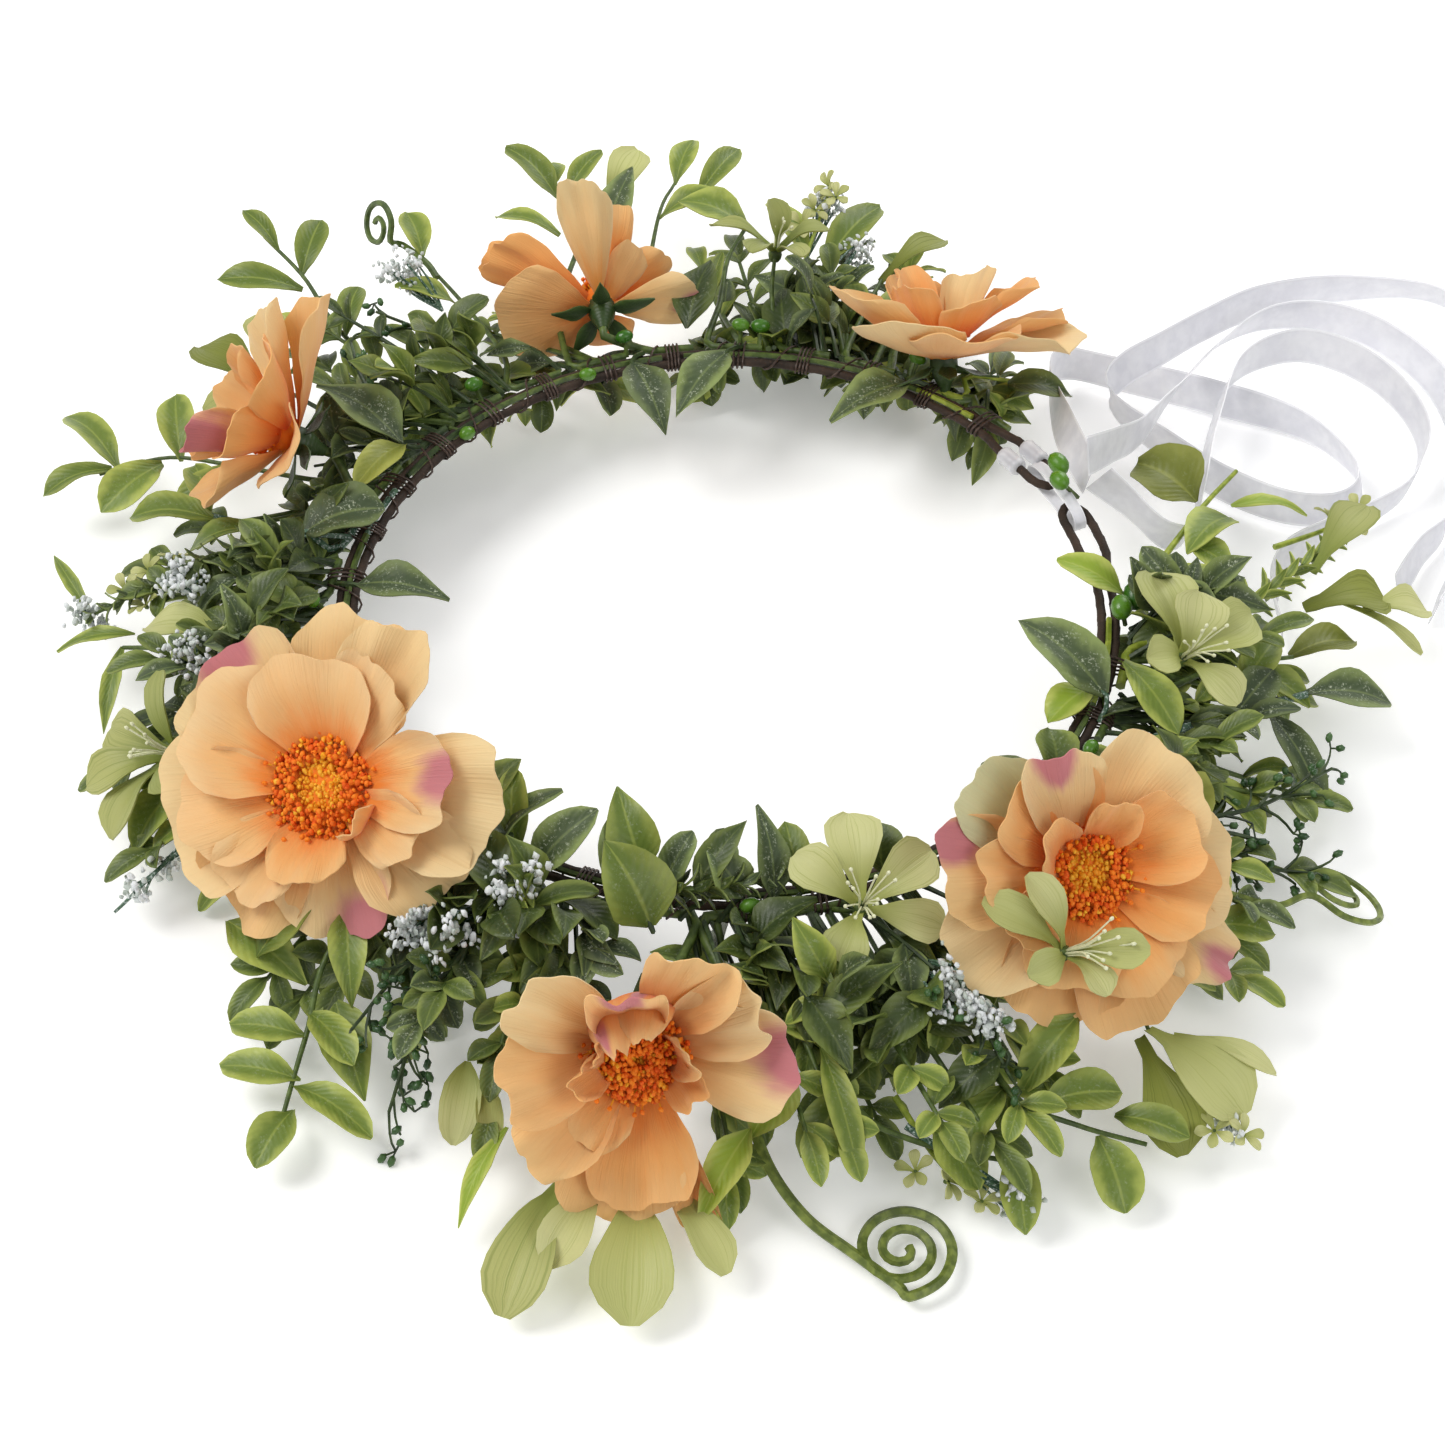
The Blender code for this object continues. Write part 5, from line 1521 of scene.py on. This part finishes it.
    s = Sprig("frosted_leaf_sprig_c", 26)
    line = s.tie(STEM_FROST, (40, 108, 29), (47, 118, 26), (56, 141, 20), thick=1.5, thin=0.9)
    s.leaves(LEAF_FROST, "box", (56, 140, 20, 58, 162, 14, 12), (52, 132, 22, 45, 149, 12, 9),
             (49, 124, 24, 56, 132, 27, 10))
    s.leaves(LEAF_OLIVE, "box", (33, 107, 34, 31, 130, 30, 19, 0))
    s.leaves(LEAF, "box", (40, 120, 22, 39, 139, 14, 10), (38, 112, 26, 32, 120, 20, 9))
    s.stalked(LEAF_FROST, "ovate", STEM_FROST, (43, 95, 34, 51, 71, 40, 16, 0))
    s.stalked(LEAF_LIME, "box", STEM, (46, 92, 31, 37, 85, 29, 10))
    s.crumbs((34, 118, 36), (3.5, 3.5, 3), 36, (34, 106, 29))
    s.undergrowth(36, 5, 7, far=130)
    s.buds((30, 99.5, 33, 5), (33, 98.5, 34, 5))
    s.done()


def right_foliage():
    s = Sprig("boxwood_sprig_d", 27)
    s.tie(STEM, (50, 106, 26), (57, 120, 24), (61, 138, 20))
    s.leaves(LEAF, "box", (49, 97, 36, 42, 114, 30, 10), (53, 124, 22, 61, 133, 26, 9),
             (58, 126, 22, 55, 142, 18, 9))
    s.leaves(LEAF_OLIVE, "box", (61, 137, 20, 64, 154, 18, 11))
    s.needles(17, 10, LEAF, LEAF, (58, 112, 27), (70, 138, 25), (76, 157, 22))
    s.leaves(OLIVE_PETAL, "spoon", (67, 142, 22, 69, 164, 18, 15, 0))
    s.leaves(BLOSSOM, "spoon", (71, 146, 24, 78, 166, 26, 12, 0))
    s.leaves(CREAM, "spoon", (68, 158, 18, 69, 175, 14, 12), (69, 153, 18, 65, 172, 11, 4))
    s.undergrowth(47, 5, 6, far=128)
    s.twig(STEM_LIME, (76, 140, 22), (78, 155, 20), (80, 166, 18))
    s.florets((80, 167, 19), (78, 163, 21), (79, 158, 21))
    s.done()

    s = Sprig("star_blossom_c", 28)
    s.tie(STEM_LIME, (59, 104, 28), (68, 102, 27), (82, 124, 24), (87, 141, 24), thick=1.3)
    s.star(CREAM, (51, 110, 37), (20, 60), 10, 14,
           (57, 112, 48, 14), (47, 125, 34, 11), (62, 101, 44, 16), (58, 125, 40, 13),
           (45, 103, 46, 10))
    s.twig(STEM, (50, 99, 28), (51, 107, 34))
    s.leaves(LEAF_OLIVE, "box", (84, 126, 24, 92, 118, 26, 22, 0))
    s.leaves(LEAF, "ovate", (81, 132, 23, 75, 116, 26, 13), (65, 103, 30, 69, 123, 31, 10),
             (77, 118, 25, 73, 128, 21, 9))
    s.leaves(LEAF_LIME, "lance", (83, 135, 22, 82, 156, 15, 6))
    s.stalked(LEAF_LIME, "box", STEM, (64, 96, 33, 69, 80, 38, 9))
    s.buds((61, 95, 34, 7.5), (64, 98.5, 33, 8), (92.5, 94, 35, 7), (88.5, 90.5, 36, 6.5))
    s.undergrowth(60, 5, 6, far=124)
    s.done()


def back_foliage():
    s = Sprig("boxwood_sprig_e", 6)
    s.tie(STEM, (176, 128, 24), (170, 160, 22), (171, 184, 20))
    s.leaves(LEAF, "box", (171, 176, 22, 174, 196, 28, 10), (172, 162, 20, 177, 176, 20, 8),
             (170, 178, 21, 166, 190, 26, 7), (171, 184, 20, 170, 198, 18, 8))
    s.leaves(LEAF_FROST, "ovate", (169, 147, 24, 164, 171, 33, 11))
    s.leaves(CREAM, "spoon", (167, 165, 22, 163, 183, 30, 12))
    s.twig(STEM, (166, 122, 24), (162, 158, 26), (160, 172, 26))
    s.leaves(LEAF, "box", (160, 171, 26, 158, 189, 28, 8), (158, 166, 25, 154, 186, 27, 8),
             (162, 156, 26, 156, 160, 32, 8))
    s.stalked(LEAF_FROST, "ovate", STEM_DARK, (171, 90, 31, 169, 66, 26, 12, 0))
    s.undergrowth(178, 5, 5)
    s.buds((171, 99, 33, 5), (179, 90, 31, 5))
    s.done()

    s = Sprig("floret_sprig_b", 4)
    s.tie(STEM, (156, 118, 26), (155, 134, 28), (153, 146, 30))
    s.leaves(LEAF, "round", (153, 146, 30, 160, 154, 33, 13))
    s.leaves(LEAF_DARK, "ovate", (161, 104, 29, 157, 127, 33, 12))
    s.crumbs((161, 146, 34), (4.5, 4.5, 3.5), 56, (159, 126, 27))
    s.crumbs((159, 127, 34), (3.5, 3.5, 3), 40, (158, 110, 28))
    s.stalked(LEAF_FROST, "ovate", STEM_DARK, (155, 90, 32, 166, 70, 28, 12, 0))
    s.undergrowth(156, 6, 7)
    s.done()

    s = Sprig("star_blossom_d", 3)
    s.tie(STEM, (148, 104, 28), (149, 113, 34), (149, 121, 39))
    s.star(BLOSSOM, (149, 123, 40), (140, 68), 7, 9,
           (157, 131, 42, 9), (150, 130, 52, 10), (143, 132, 42, 9), (152, 112, 48, 8),
           (145, 114, 46, 8))
    s.leaves(LEAF, "box", (144, 138, 24, 140, 166, 26, 11), (146, 108, 28, 143, 132, 24, 8),
             (146, 140, 25, 151, 160, 28, 9))
    s.leaves(LEAF_DARK, "ovate", (146, 100, 28, 148, 120, 30, 11))
    s.crumbs((145, 162, 27), (4.5, 4.5, 3), 44, (146, 142, 24))
    s.crumbs((141, 146, 26), (4, 4, 3), 40, (143, 126, 26))
    s.undergrowth(145, 5, 6)
    s.buds((150, 100, 33, 5.5), (153, 99, 34, 5))
    s.twig(STEM_LIME, (147, 100, 28), (146, 130, 29), (145, 163, 31))
    s.florets((145, 164, 32), (146, 154, 31), (144, 158, 33), (147, 147, 31))
    s.done()

    s = Sprig("olive_leaf_sprig_a", 2)
    s.tie(STEM, (137, 118, 26), (137, 138, 24))
    s.leaves(OLIVE_PETAL, "spoon", (137, 136, 24, 133, 162, 22, 9))
    s.leaves(LEAF, "box", (137, 124, 25, 143, 134, 20, 9), (136, 120, 26, 131, 134, 22, 9))
    s.undergrowth(135, 5, 7)
    s.done()

    s = Sprig("frosted_leaf_sprig_d", 1)
    s.tie(STEM_LIME, (118, 104, 30), (113, 112, 28), thick=1.2)
    s.stalked(LEAF_FROST, "ovate", STEM_DARK, (124, 92, 31, 133, 71, 29, 13, 0))
    s.leaves(LEAF_DARK, "ovate", (113, 110, 28, 107, 122, 24, 10))
    s.undergrowth(120, 7, 6)
    s.buds((125, 100, 33, 5))
    s.done()


def boxwood_over_left_edge():
    s = Sprig("boxwood_sprig_f", 10, 40)
    s.twig(STEM, (217, 98, 27), (219, 116, 22), (221, 138, 22), (222, 158, 20), (225, 174, 16))
    s.leaves(LEAF, "box", (224, 170, 17, 220, 194, 16, 10), (223, 158, 20, 230, 166, 18, 12),
             (222, 154, 20, 216, 166, 25, 10), (221, 140, 22, 228, 148, 16, 8),
             (224, 172, 16, 228, 186, 13, 10))
    s.undergrowth(220, 6, 5)
    s.make()


# ---------------------------------------------------------------- the whole crown
def finish_cad_looks():
    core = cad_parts["hoop_core_wire"]
    for slot in core.material_slots:
        slot.material = STEEL
    if not core.material_slots:
        core.data.materials.append(STEEL)


build_stage()
for tail_name, (tail_route, tail_length, tail_lean) in TAILS.items():
    build_tail(tail_name, tail_route, tail_length, tail_lean)
build_hoop()
build_knot()
build_blooms()
left_foliage()
front_foliage()
right_foliage()
back_foliage()
boxwood_over_left_edge()
finish_cad_looks()
